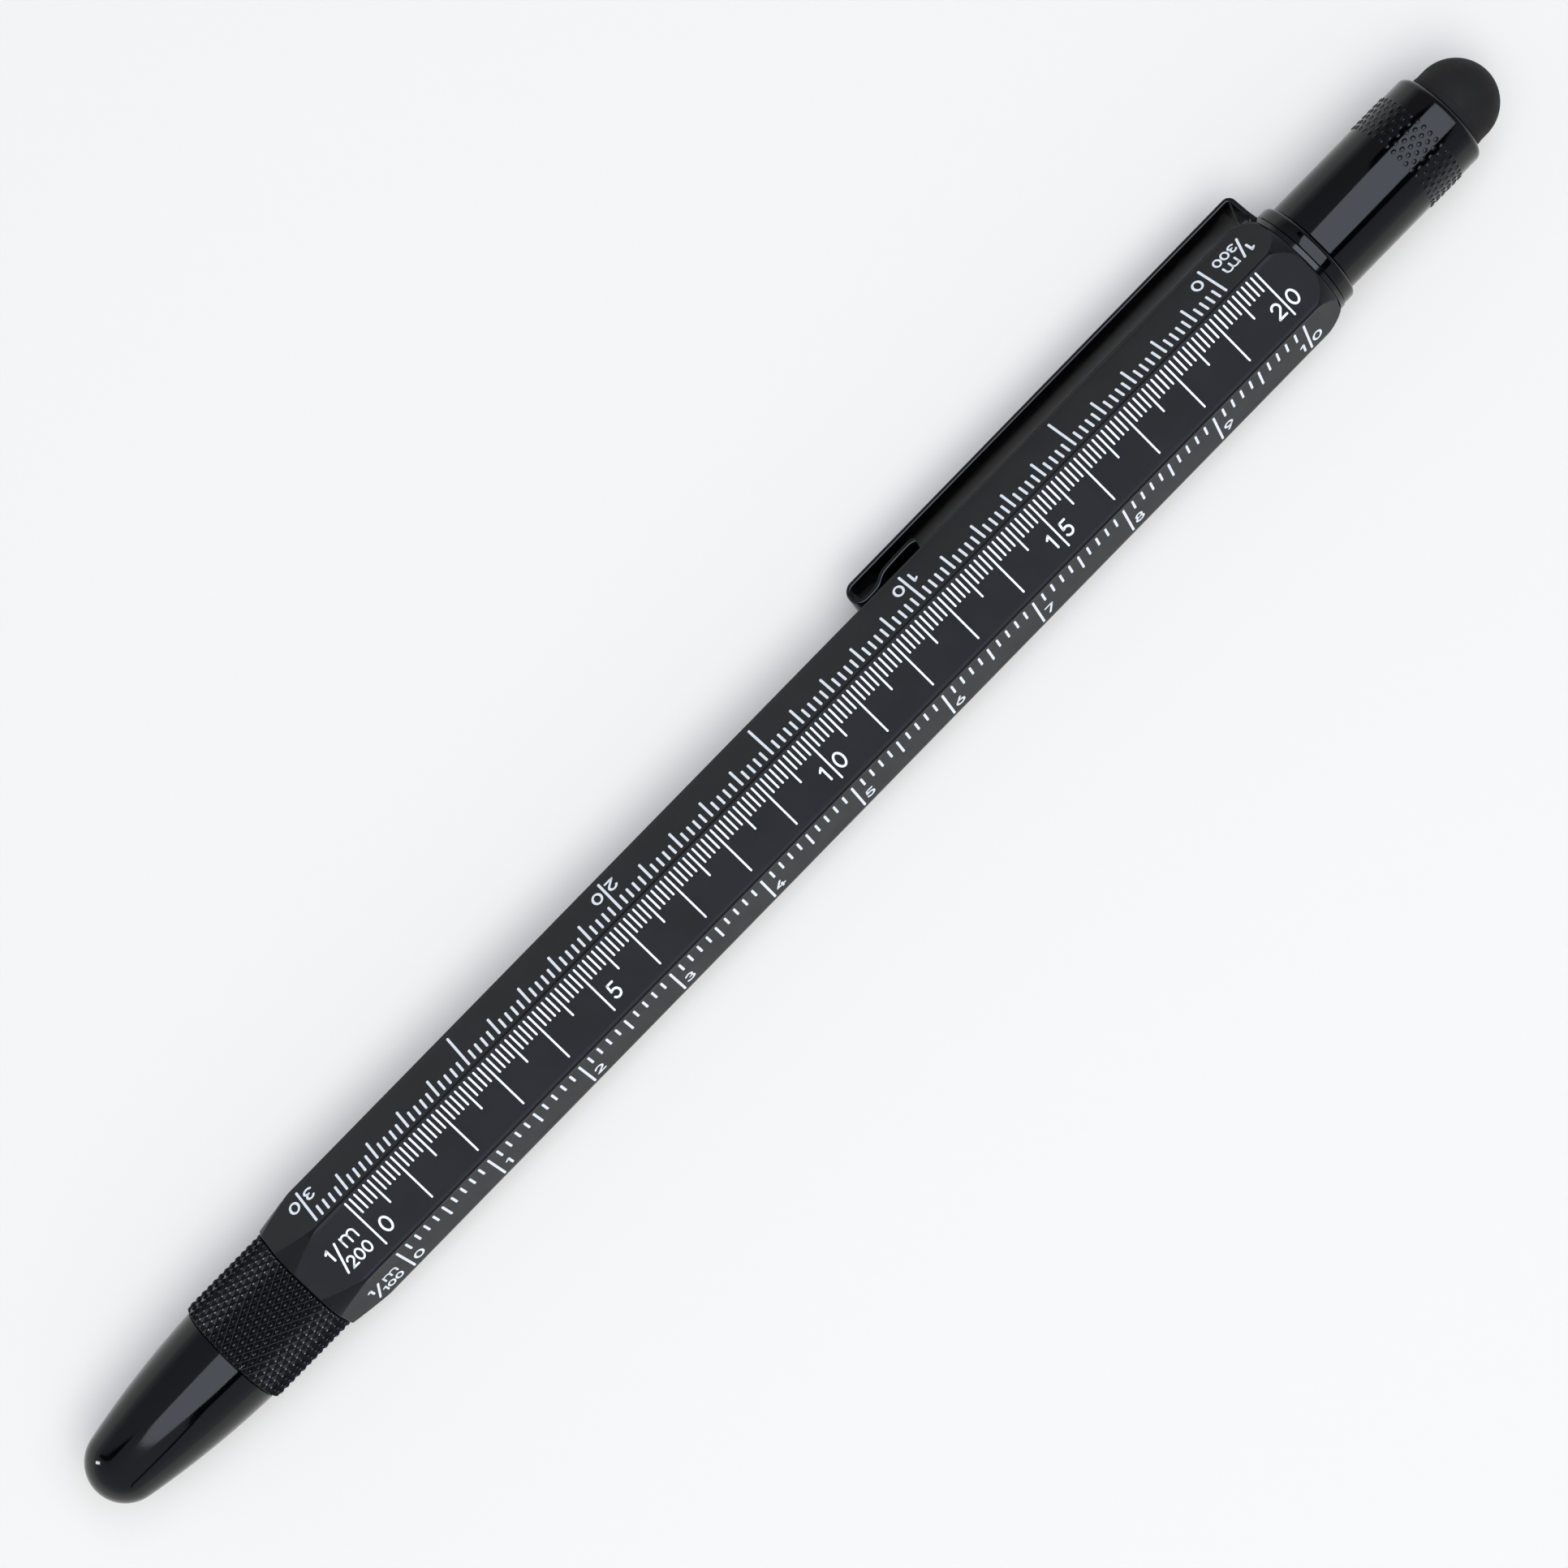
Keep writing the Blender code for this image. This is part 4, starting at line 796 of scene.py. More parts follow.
def make_barrel():
    """Six-sided barrel: a turned tube with a front cone and a round shoulder, cut by six flats."""
    bm = bmesh.new()
    angles = barrel_angles()
    columns = [barrel_column(angle) for angle in angles]
    rings = []
    for row in range(len(columns[0])):
        ring = []
        for angle, column in zip(angles, columns):
            x, radius = column[row]
            ring.append(bm.verts.new((x, *around(angle, radius))))
        rings.append(ring)
    rings += [row_ring(bm, row, angles) for row in barrel_bore_rows()]
    for near, far in zip(rings, rings[1:] + rings[:1]):
        bridge(bm, near, far)
    fit("barrel_tube", carve(bm, slot_cutter()), SATIN, "barrel", ["hex_barrel"])


# Cap


def cap_flank(x):
    """Outer radius of the bullet cap behind its nose."""
    return CAP_FLANK_CENTRE + math.sqrt(CAP_FLANK_RADIUS ** 2 - (x - RING_X - CAP_FLANK_SETBACK) ** 2)


def cap_bore(x):
    """Inner radius of the cap between its end wall and its thread."""
    return min(cap_flank(x) - CAP_WALL, CAP_RELIEF_RADIUS)


def cap_nose():
    """Radius of the nose ball that meets the flank without a step, and the angle at which it does."""
    run = RING_X + CAP_FLANK_SETBACK - NOSE_X
    radius = (CAP_FLANK_RADIUS ** 2 - CAP_FLANK_CENTRE ** 2 - run ** 2) / (2 * (CAP_FLANK_RADIUS - run))
    return radius, math.degrees(math.atan2(-CAP_FLANK_CENTRE, radius - run))


def make_cap():
    """Bullet shell of the cap, polished outside and threaded inside its mouth."""
    radius, meeting = cap_nose()
    nose = arc((NOSE_X + radius, 0.0), radius, 180, meeting, 24)
    shoulder = RING_X - MICRO_EDGE
    rows = nose + [(x, cap_flank(x)) for x in spread(nose[-1][0], shoulder - MICRO_EDGE, 36)[1:]]
    rows += [(shoulder, cap_flank(shoulder) - MICRO_EDGE), (shoulder, CAP_SPIGOT_RADIUS)]
    rows += [(SHELL_END_X, CAP_SPIGOT_RADIUS), (SHELL_END_X, CAP_THREAD_BORE + MICRO_EDGE)]
    thread_end = SHELL_END_X - CAP_THREAD_LENGTH
    rows += thread_rows(SHELL_END_X - MICRO_EDGE, thread_end, CAP_THREAD_BORE, -THREAD_DEPTH)
    rows += [(thread_end, CAP_RELIEF_RADIUS)]
    end_x = NOSE_X + CAP_END_WALL
    corner = end_x + CAP_END_CORNER
    rows += [(x, cap_bore(x)) for x in spread(RING_X, corner, 8)]
    rows += [(end_x, cap_flank(corner) - CAP_WALL - CAP_END_CORNER), (end_x, 0.0)]
    fit("cap_bullet", turned(rows), GLOSS, "cap", ["cap_shell"])


# Generated parts: small kit for Geometry Nodes trees


class Value:
    """Number in a tree; plain arithmetic on it adds the node that does it."""

    def __init__(self, tree, socket):
        self.tree = tree
        self.socket = socket

    def calc(self, operation, second=0.0):
        """Result of an operation on this value and another."""
        return arithmetic(self.tree, operation, self, second)

    def __add__(self, other):
        return arithmetic(self.tree, "ADD", self, other)

    def __sub__(self, other):
        return arithmetic(self.tree, "SUBTRACT", self, other)

    def __rsub__(self, other):
        return arithmetic(self.tree, "SUBTRACT", other, self)

    def __mul__(self, other):
        return arithmetic(self.tree, "MULTIPLY", self, other)

    def __truediv__(self, other):
        return arithmetic(self.tree, "DIVIDE", self, other)

    def __rtruediv__(self, other):
        return arithmetic(self.tree, "DIVIDE", other, self)

    def __lt__(self, other):
        return arithmetic(self.tree, "LESS_THAN", self, other)

    def __gt__(self, other):
        return arithmetic(self.tree, "GREATER_THAN", self, other)


def arithmetic(tree, operation, first, second):
    """Value of a new node that works on two others, each a number or a Value."""
    node = grow(tree, "ShaderNodeMath", {"operation": operation})
    feed(tree, node.inputs[0], first)
    feed(tree, node.inputs[1], second)
    return Value(tree, node.outputs[0])


def least(first, second):
    """Smaller of two values."""
    return first.calc("MINIMUM", second)


def new_tree(name, numbers, counts):
    """Geometry Nodes tree and its inputs by name: numbers, counts and a material."""
    tree = bpy.data.node_groups.new(name, "GeometryNodeTree")
    kinds = dict.fromkeys(numbers, "Float") | dict.fromkeys(counts, "Int") | {"Material": "Material"}
    for label, kind in kinds.items():
        tree.interface.new_socket(label, in_out="INPUT", socket_type="NodeSocket" + kind)
    tree.interface.new_socket("Geometry", in_out="OUTPUT", socket_type="NodeSocketGeometry")
    outputs = tree.nodes.new("NodeGroupInput").outputs
    return tree, {label: Value(tree, outputs[label]) for label in kinds}


def feed(tree, socket, value):
    """Give an input a number, a vector, a material or another node's output."""
    if isinstance(value, Value):
        value = value.socket
    if isinstance(value, bpy.types.NodeSocket):
        tree.links.new(value, socket)
    else:
        socket.default_value = value


def grow(tree, kind, settings=None, **inputs):
    """Add a node to a tree; settings are properties and the rest are inputs by name."""
    node = tree.nodes.new(kind)
    for key, value in (settings or {}).items():
        setattr(node, key, value)
    for key, value in inputs.items():
        feed(tree, node.inputs[key.replace("_", " ")], value)
    return node


def made(tree, kind, settings=None, **inputs):
    """First output of a new node."""
    return grow(tree, kind, settings, **inputs).outputs[0]


def vector(tree, x=0.0, y=0.0, z=0.0):
    """Vector made of three numbers or values."""
    return made(tree, "ShaderNodeCombineXYZ", X=x, Y=y, Z=z)


def round_axis(tree, x, angle, radius):
    """Place at a distance along the axis, an angle round it and a radius from it."""
    return vector(tree, x, radius * angle.calc("SINE"), radius * angle.calc("COSINE"))


def point_values(tree):
    """Three coordinates of each point."""
    split = grow(tree, "ShaderNodeSeparateXYZ", Vector=made(tree, "GeometryNodeInputPosition"))
    return [Value(tree, output) for output in split.outputs]


def generate(name, tree, values):
    """Plain mesh that a tree makes from its input values, with its faces pointing out."""
    host = placed(name, bpy.data.meshes.new(name))
    step = host.modifiers.new("made", "NODES")
    step.node_group = tree
    for socket in tree.interface.items_tree:
        if socket.in_out == "INPUT":
            step[socket.identifier] = values[socket.name]
    mesh = baked(host)
    bm = bmesh.new()
    bm.from_mesh(mesh)
    bmesh.ops.recalc_face_normals(bm, faces=bm.faces)
    bm.to_mesh(mesh)
    bm.free()
    return mesh


def close_tree(tree, geometry, material):
    """End a tree in Realize Instances and Set Material."""
    real = made(tree, "GeometryNodeRealizeInstances", Geometry=geometry)
    painted = made(tree, "GeometryNodeSetMaterial", Geometry=real, Material=material)
    tree.links.new(painted, tree.nodes.new("NodeGroupOutput").inputs[0])


def knurl_tree():
    """Sleeve whose skin is cut by two crossing families of helical V grooves."""
    numbers = ("Start", "End", "Crest", "Depth", "Bore", "Long Pitch", "End Radius")
    tree, given = new_tree("knurled_sleeve", numbers, ("Round Count", "Steps", "Rows"))
    rows = given["Rows"]
    width = rows + 3.0
    grid = made(tree, "GeometryNodeMeshGrid", Size_X=1.0, Size_Y=width, Vertices_Y=rows + 4.0,
                Vertices_X=given["Round Count"] * given["Steps"] + 1.0)
    turn, down, _ = point_values(tree)
    line = down + width * 0.5
    share = least(line / rows, 1.0) * (line < rows + 1.5)
    gone = share * (given["End"] - given["Start"])
    x = given["Start"] + gone
    along = gone / given["Long Pitch"] + 0.5 / given["Steps"]
    across = turn * given["Round Count"]
    cut = given["Depth"] * (1.0 - least(groove(along + across), groove(along - across)))
    to_end = least(x - given["Start"], given["End"] - x)
    inward = given["End Radius"] - least(to_end, given["End Radius"])
    squared = given["End Radius"].calc("POWER", 2.0) - inward.calc("POWER", 2.0)
    corner = given["Crest"] - given["End Radius"] + squared.calc("SQRT")
    outer = least(given["Crest"] - cut, corner)
    in_bore = (line > rows + 0.5) * (line < rows + 2.5)
    radius = outer + in_bore * (given["Bore"] - outer)
    moved = made(tree, "GeometryNodeSetPosition", Geometry=grid,
                 Position=round_axis(tree, x, turn * math.tau, radius))
    closed = made(tree, "GeometryNodeMergeByDistance", Geometry=moved, Distance=WELD)
    split = made(tree, "GeometryNodeTriangulate", {"quad_method": "SHORTEST_DIAGONAL"}, Mesh=closed)
    close_tree(tree, split, given["Material"])
    return tree


def groove(turns):
    """Height between V grooves of one family, from 0 in the groove to 1 on the crest."""
    return turns.calc("PINGPONG", 0.5) * 2.0


def make_knurl():
    """Knurled mouth ring of the cap; its mesh runs along the grooves."""
    length = CAP_MOUTH_X - RING_X
    rows = round(length / KNURL_LONG_PITCH * KNURL_STEPS)
    values = {"Start": RING_X, "End": CAP_MOUTH_X, "Crest": KNURL_CREST_RADIUS, "Depth": KNURL_DEPTH,
              "Bore": CAP_SPIGOT_RADIUS + MICRO_EDGE, "Round Count": KNURL_COUNT,
              "Long Pitch": length * KNURL_STEPS / rows, "End Radius": KNURL_END_RADIUS, "Steps": KNURL_STEPS,
              "Rows": rows, "Material": KNURL}
    mesh = generate("cap_knurl", knurl_tree(), values)
    fit("cap_knurl", mesh, KNURL, "cap", ["knurled_ring"], smooth=KNURL_SMOOTH)


# Clip


def clip_route():
    """Middle line of the folded strip as (x, height), from its root over the bend and round the loop."""
    half = CLIP_THICKNESS / 2
    tab_x = (WASHER_X + WASHER_END_X) / 2
    bend = CLIP_BEND_RADIUS + half
    loop_bottom = FACE_OUT + CLIP_SEAT_GAP + half
    loop_top = CLIP_LOOP_HEIGHT - half
    radius = (loop_top - loop_bottom) / 2
    loop_x = CLIP_TIP_X + radius + half
    route = [(tab_x, CLIP_WASHER_RADIUS + MICRO_EDGE), (tab_x, CLIP_WASHER_RADIUS + CLIP_THICKNESS)]
    route += arc((tab_x - bend, CLIP_ROOT_HEIGHT - half - bend), bend, 0, 90, 10)
    start_x = tab_x - bend
    for share in spread(0.0, 1.0, 60)[1:-1]:
        fall = (loop_top + half - CLIP_ROOT_HEIGHT) * share
        route.append((start_x + (loop_x - start_x) * share, CLIP_ROOT_HEIGHT - half + fall))
    route += arc((loop_x, loop_bottom + radius), radius, 90, 270, 24)
    ends = [(loop_x, loop_bottom)]
    for along, rise in CLIP_RETURN_SHARES:
        ends.append((loop_x + along * CLIP_RETURN_LENGTH, loop_bottom + rise * CLIP_RETURN_RISE))
    return route + rounded_path(ends)[1:]


def rounded_path(points):
    """Path through points with its corners drawn round."""
    for _ in range(3):
        cut = [points[0]]
        for near, far in zip(points, points[1:]):
            cut.append((near[0] * 0.75 + far[0] * 0.25, near[1] * 0.75 + far[1] * 0.25))
            cut.append((near[0] * 0.25 + far[0] * 0.75, near[1] * 0.25 + far[1] * 0.75))
        points = cut + [points[-1]]
    return points


def strip_section():
    """Points (across, through) round the strip's cross-section, its long edges rounded."""
    across = CLIP_WIDTH / 2
    through = CLIP_THICKNESS / 2
    signs = ((1, 1), (-1, 1), (-1, -1), (1, -1))
    return eased([(a * across, b * through, CLIP_EDGE_RADIUS) for a, b in signs])


def make_clip():
    """Folded spring strip of the clip."""
    route = [Vector(point) for point in clip_route()]
    section = strip_section()
    bm = bmesh.new()
    loops = []
    for index, point in enumerate(route):
        before = route[max(index - 1, 0)]
        after = route[min(index + 1, len(route) - 1)]
        run = (after - before).normalized()
        side = Vector((-run.y, run.x))
        loops.append([bm.verts.new((point.x + side.x * b, a, point.y + side.y * b)) for a, b in section])
    skin(bm, loops)
    piece = fit("clip_strip", bm, CLIP, None, ["clip_arm"], CLIP_FACE)
    root_y, root_z = around(CLIP_ANGLE, CLIP_WASHER_RADIUS)
    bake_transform(piece)


def make_washer():
    """Washer of the clip, gripped between barrel and collar, with the foot of the strip."""
    half = CLIP_WIDTH / 2
    tab_root = math.degrees(math.acos(half / CLIP_WASHER_RADIUS))
    rim = arc((0.0, 0.0), CLIP_WASHER_RADIUS, 180 - tab_root, 360 + tab_root, 120)
    tab_top = CLIP_WASHER_RADIUS + MICRO_EDGE
    outline = rim + [(half, tab_top), (-half, tab_top)]
    corners = [(WASHER_X, across, out) for across, out in outline]
    body = prism_body(corners, (WASHER_END_X - WASHER_X, 0.0, 0.0))
    rims = [edge for edge in body.edges if abs(edge.verts[0].co.x - edge.verts[1].co.x) < POLE]
    bmesh.ops.bevel(body, geom=rims, offset=WASHER_EDGE, offset_type="OFFSET", segments=3, profile=0.5,
                    affect="EDGES")
    start = WASHER_X - CUT_OVERRUN
    end = WASHER_END_X + CUT_OVERRUN
    eye = BARREL_BORE + MICRO_EDGE
    mesh = carve(body, turned([(start, 0.0), (start, eye), (end, eye), (end, 0.0)]))
    fit("clip_washer", mesh, CLIP, "barrel", ["clip_ring"], CLIP_FACE)


# Collar, cover and stylus


def make_collar():
    """Collar with its threaded sleeve and the grooved spigot."""
    collar_x = WASHER_END_X + MICRO_EDGE
    collar_end = COVER_X - MICRO_EDGE
    groove_end = SPIGOT_END_X - SPIGOT_GROOVE_SETBACK
    groove_start = groove_end - SPIGOT_GROOVE_WIDTH
    sleeve = BARREL_BORE - MICRO_EDGE
    rows = [(SLEEVE_X, COLLAR_BORE), (SLEEVE_X, sleeve - MICRO_EDGE)]
    rows += thread_rows(SLEEVE_X + MICRO_EDGE, collar_x - THREAD_PITCH, sleeve, THREAD_DEPTH)
    rows += eased([(collar_x, sleeve), (collar_x, COLLAR_RADIUS, COLLAR_NEAR_EDGE),
                   (collar_end, COLLAR_RADIUS, COLLAR_EDGE_RADIUS), (collar_end, SPIGOT_RADIUS)])
    rows += [(groove_start, SPIGOT_RADIUS), (groove_start, SPIGOT_GROOVE_RADIUS)]
    rows += [(groove_end, SPIGOT_GROOVE_RADIUS), (groove_end, SPIGOT_RADIUS)]
    rows += [(SPIGOT_END_X - MICRO_EDGE, SPIGOT_RADIUS), (SPIGOT_END_X, SPIGOT_RADIUS - MICRO_EDGE)]
    rows += [(SPIGOT_END_X, COLLAR_BORE)]
    fit("collar_turned", turned(rows), GLOSS, "barrel", ["top_collar"])


def make_cover():
    """Tool cover: a polished tube with a closed end."""
    floor = COVER_END_X - COVER_END_WALL
    hole = STYLUS_STEM_RADIUS + MICRO_EDGE
    outline = [(COVER_X, COVER_BORE, MICRO_EDGE), (COVER_X, COVER_RADIUS, 2 * MICRO_EDGE),
               (COVER_END_X, COVER_RADIUS, COVER_EDGE_RADIUS), (COVER_END_X, hole), (floor, hole),
               (floor, COVER_BORE, COVER_FLOOR_CORNER)]
    fit("cover_tube", turned_smooth(outline), GLOSS, "cover", ["tool_cover"])


def bump_tree():
    """Staggered rows of small raised bumps round a tube."""
    numbers = ("First", "Pitch", "Radius", "Length", "Breadth", "Height", "Top Power")
    tree, given = new_tree("grip_bumps", numbers, ("Columns", "Around"))
    spots = made(tree, "GeometryNodeMeshLine", {"mode": "OFFSET"}, Count=given["Columns"] * given["Around"])
    index = Value(tree, made(tree, "GeometryNodeInputIndex"))
    column = ((index + 0.5) / given["Around"]).calc("FLOOR")
    step = index - column * given["Around"]
    stagger = column.calc("MODULO", 2.0) * 0.5
    angle = (step + stagger) / given["Around"] * math.tau
    place = round_axis(tree, given["First"] + column * given["Pitch"], angle, given["Radius"])
    points = made(tree, "GeometryNodeSetPosition", Geometry=spots, Position=place)
    ball = made(tree, "GeometryNodeMeshUVSphere", Segments=10, Rings=6, Radius=1.0)
    along, across, out = point_values(tree)
    flat = out.calc("SIGN") * out.calc("ABSOLUTE").calc("POWER", given["Top Power"])
    pad = made(tree, "GeometryNodeSetPosition", Geometry=ball, Position=vector(tree, along, across, flat))
    size = vector(tree, given["Length"] * 0.5, given["Breadth"] * 0.5, given["Height"])
    bumps = made(tree, "GeometryNodeInstanceOnPoints", Points=points, Instance=pad, Scale=size,
                 Rotation=vector(tree, angle * -1.0))
    close_tree(tree, bumps, given["Material"])
    return tree


def make_cover_bumps():
    """Grip bumps round the outer end of the cover."""
    values = {"First": COVER_END_X - BUMP_SETBACK, "Pitch": BUMP_ALONG_PITCH,
              "Radius": COVER_RADIUS - BUMP_SUNK, "Length": BUMP_LENGTH, "Breadth": BUMP_BREADTH,
              "Height": BUMP_HEIGHT, "Top Power": BUMP_TOP_POWER, "Columns": BUMP_COLUMNS,
              "Around": BUMP_AROUND, "Material": GLOSS}
    fit("cover_bumps", generate("cover_bumps", bump_tree(), values), GLOSS, "cover")


def make_stylus():
    """Rubber dome with its foot, and the plug inside it."""
    centre = (STYLUS_END_X - STYLUS_RADIUS, 0.0)
    foot_end = STYLUS_X + STYLUS_FOOT_LENGTH
    inner = STYLUS_RADIUS - STYLUS_WALL
    foot = eased([(foot_end + MICRO_EDGE, STYLUS_RADIUS), (foot_end, STYLUS_FOOT_RADIUS, MICRO_EDGE),
                  (STYLUS_X, STYLUS_FOOT_RADIUS, 2 * MICRO_EDGE), (STYLUS_X, inner)])
    rows = arc(centre, STYLUS_RADIUS, 0, 90, 28) + foot + arc(centre, inner, 90, 0, 12)
    fit("stylus_tip", turned(rows), STYLUS, "cover", ["stylus_dome"])
    head = inner - MICRO_EDGE
    rows = [(CORE_X, 0.0), (CORE_X, STYLUS_STEM_RADIUS), (STYLUS_X, STYLUS_STEM_RADIUS), (STYLUS_X, head)]
    rows += arc(centre, head, 90, 0, 12)
    fit("stylus_plug", turned(rows, SMALL_COLUMNS), INNER, "cover", ["stylus_core"])


# Printed scales


def mark_tree():
    """Row of round-ended marks in three lengths, drawn on a flat: x along, y across, z out."""
    numbers = ("First", "Pitch", "Foot", "Short", "Middle", "Long", "Width", "Sunk", "Proud")
    tree, given = new_tree("scale_marks", numbers, ("Count", "Middle Every", "Long Every"))
    start = vector(tree, given["First"], given["Foot"])
    line = made(tree, "GeometryNodeMeshLine", {"mode": "OFFSET"}, Count=given["Count"],
                Start_Location=start, Offset=vector(tree, given["Pitch"]))
    index = Value(tree, made(tree, "GeometryNodeInputIndex"))
    is_long = index.calc("MODULO", given["Long Every"]) < 0.5
    is_middle = (index.calc("MODULO", given["Middle Every"]) < 0.5) * (1.0 - is_long)
    is_short = 1.0 - is_long - is_middle
    joined = tree.nodes.new("GeometryNodeJoinGeometry")
    for label, chosen in (("Short", is_short), ("Middle", is_middle), ("Long", is_long)):
        mark = mark_shape(tree, given, given[label])
        marks = made(tree, "GeometryNodeInstanceOnPoints", Points=line, Selection=chosen, Instance=mark)
        tree.links.new(marks, joined.inputs[0])
    close_tree(tree, joined.outputs[0], given["Material"])
    return tree


def mark_shape(tree, given, reach):
    """One raised mark that runs from the foot line across the flat by reach, which may be negative."""
    flat = made(tree, "GeometryNodeCurvePrimitiveQuadrilateral", Width=given["Width"],
                Height=reach.calc("ABSOLUTE"))
    soft = made(tree, "GeometryNodeFilletCurve", {"mode": "POLY"}, Curve=flat, Count=MARK_END_STEPS,
                Radius=given["Width"] * MARK_END_SHARE, Limit_Radius=True)
    filled = made(tree, "GeometryNodeFillCurve", Curve=soft)
    base = made(tree, "GeometryNodeTransform", Geometry=filled,
                Translation=vector(tree, 0.0, reach * 0.5, given["Sunk"] * -1.0))
    tall = made(tree, "GeometryNodeExtrudeMesh", {"mode": "FACES"}, Mesh=base, Offset=vector(tree, z=1.0),
                Offset_Scale=given["Sunk"] + given["Proud"], Individual=False)
    both = tree.nodes.new("GeometryNodeJoinGeometry")
    tree.links.new(tall, both.inputs[0])
    tree.links.new(made(tree, "GeometryNodeFlipFaces", Mesh=base), both.inputs[0])
    return made(tree, "GeometryNodeMergeByDistance", Geometry=both.outputs[0], Distance=WELD)


# Numerals: middle lines of round-ended strokes, in shares of the numeral's height


def bow(x, y, across, up, start, end, steps=14):
    """Part of an oval about (x, y)."""
    turns = [math.radians(angle) for angle in spread(start, end, steps)]
    return [(x + across * math.cos(turn), y + up * math.sin(turn)) for turn in turns]


def ring(x, y, across, up):
    """Whole oval about (x, y)."""
    return bow(x, y, across, up, 0, 360, 28)


GLYPH_SHARES = {
    "0": (0.72, [ring(0.36, 0.50, 0.28, 0.43)]),
    "1": (0.38, [[(0.06, 0.76), (0.27, 0.93)], [(0.27, 0.93), (0.27, 0.07)]]),
    "2": (0.68, [bow(0.33, 0.67, 0.25, 0.26, 165, -38) + [(0.08, 0.07)], [(0.08, 0.07), (0.61, 0.07)]]),
    "3": (0.68, [bow(0.32, 0.70, 0.22, 0.23, 155, -90), bow(0.32, 0.27, 0.26, 0.20, 90, -155)]),
    "4": (0.72, [[(0.44, 0.93), (0.08, 0.27)], [(0.08, 0.27), (0.64, 0.27)], [(0.47, 0.50), (0.47, 0.07)]]),
    "5": (0.68, [[(0.56, 0.93), (0.18, 0.93)], [(0.18, 0.93), (0.13, 0.53)],
                 bow(0.32, 0.325, 0.26, 0.255, 125, -150)]),
    "6": (0.70, [ring(0.35, 0.325, 0.265, 0.255), [(0.13, 0.45), (0.44, 0.93)]]),
    "7": (0.64, [[(0.07, 0.93), (0.58, 0.93)], [(0.58, 0.93), (0.24, 0.07)]]),
    "8": (0.68, [ring(0.34, 0.71, 0.21, 0.22), ring(0.34, 0.28, 0.265, 0.21)]),
    "9": (0.70, [ring(0.35, 0.675, 0.265, 0.255), [(0.57, 0.55), (0.26, 0.07)]]),
    "m": (1.46, [[(0.10, 0.93), (0.10, 0.07)], bow(0.415, 0.60, 0.315, 0.33, 180, 0),
                 [(0.73, 0.60), (0.73, 0.07)], bow(1.045, 0.60, 0.315, 0.33, 180, 0),
                 [(1.36, 0.60), (1.36, 0.07)]]),
}


def add_stroke(bm, points, width):
    """Raised ribbon with round ends along a middle line; a line that ends where it starts is a ring."""
    half = width / 2
    line = [Vector(point) for point in points]
    looped = (line[0] - line[-1]).length < WELD
    if looped:
        line = line[:-1]
    count = len(line)
    lefts = []
    rights = []
    for index, point in enumerate(line):
        before = line[(index - 1) % count] if looped or index else point
        after = line[(index + 1) % count] if looped or index < count - 1 else point
        arriving = (point - before).normalized() if (point - before).length else (after - point).normalized()
        leaving = (after - point).normalized() if (after - point).length else arriving
        mean = (arriving + leaving).normalized()
        side = Vector((-mean.y, mean.x)) * half / max(mean.dot(arriving), 0.5)
        lefts.append(point + side)
        rights.append(point - side)
    flats = [(lefts[i], rights[i], rights[(i + 1) % count], lefts[(i + 1) % count])
             for i in range(count if looped else count - 1)]
    if not looped:
        flats.append(round_cap(line[0], lefts[0], half))
        flats.append(round_cap(line[-1], rights[-1], half))
    raise_flats(bm, flats)


def round_cap(centre, first, half):
    """Half disc beyond the end of a stroke, starting from one of its corners."""
    start = math.atan2(first.y - centre.y, first.x - centre.x)
    return [centre + Vector((math.cos(a), math.sin(a))) * half for a in spread(start, start + math.pi, 8)]


def raise_flats(bm, flats):
    """Give flat faces a thickness: tops, undersides and the walls round their common outline."""
    tops = {}
    lows = {}
    edges = {}
    for flat in flats:
        names = []
        for corner in flat:
            name = (round(corner.x / WELD), round(corner.y / WELD))
            names.append(name)
            if name not in tops:
                tops[name] = bm.verts.new((corner.x, corner.y, PRINT_PROUD))
                lows[name] = bm.verts.new((corner.x, corner.y, -PRINT_SUNK))
        names = [name for name, other in zip(names, names[1:] + names[:1]) if name != other]
        bm.faces.new([tops[name] for name in names])
        bm.faces.new([lows[name] for name in reversed(names)])
        for pair in zip(names, names[1:] + names[:1]):
            edges[frozenset(pair)] = edges.get(frozenset(pair), []) + [pair]
    for pairs in edges.values():
        if len(pairs) == 1:
            near, far = pairs[0]
            bm.faces.new((tops[far], tops[near], lows[near], lows[far]))


def write(bm, text, x, baseline, height, facing, width):
    """Write text with its middle at x; facing -1 turns it to be read from the other end."""
    total = sum(GLYPH_SHARES[letter][0] for letter in text) + GLYPH_GAP_SHARE * (len(text) - 1)
    start = -total / 2
    for letter in text:
        advance, strokes = GLYPH_SHARES[letter]
        for stroke in strokes:
            points = [(x + facing * (start + a) * height, baseline + facing * b * height) for a, b in stroke]
            add_stroke(bm, points, width)
        start += advance + GLYPH_GAP_SHARE


def write_ratio(bm, ratio, anchor, middle, facing, width):
    """Label such as 1/m 200 beside the zero mark, laid out from the anchor."""
    def at(place):
        return anchor + facing * place[0], middle + facing * place[1]

    write(bm, "1", *at(RATIO_ONE), RATIO_ONE_HEIGHT, facing, width)
    add_stroke(bm, [at(end) for end in RATIO_STROKE], width)
    write(bm, "m", *at(RATIO_UNIT), RATIO_UNIT_HEIGHT, facing, width * RATIO_FINE_SHARE)
    write(bm, ratio, *at(RATIO_FIGURES), RATIO_FIGURE_HEIGHT, facing, width * RATIO_FINE_SHARE)


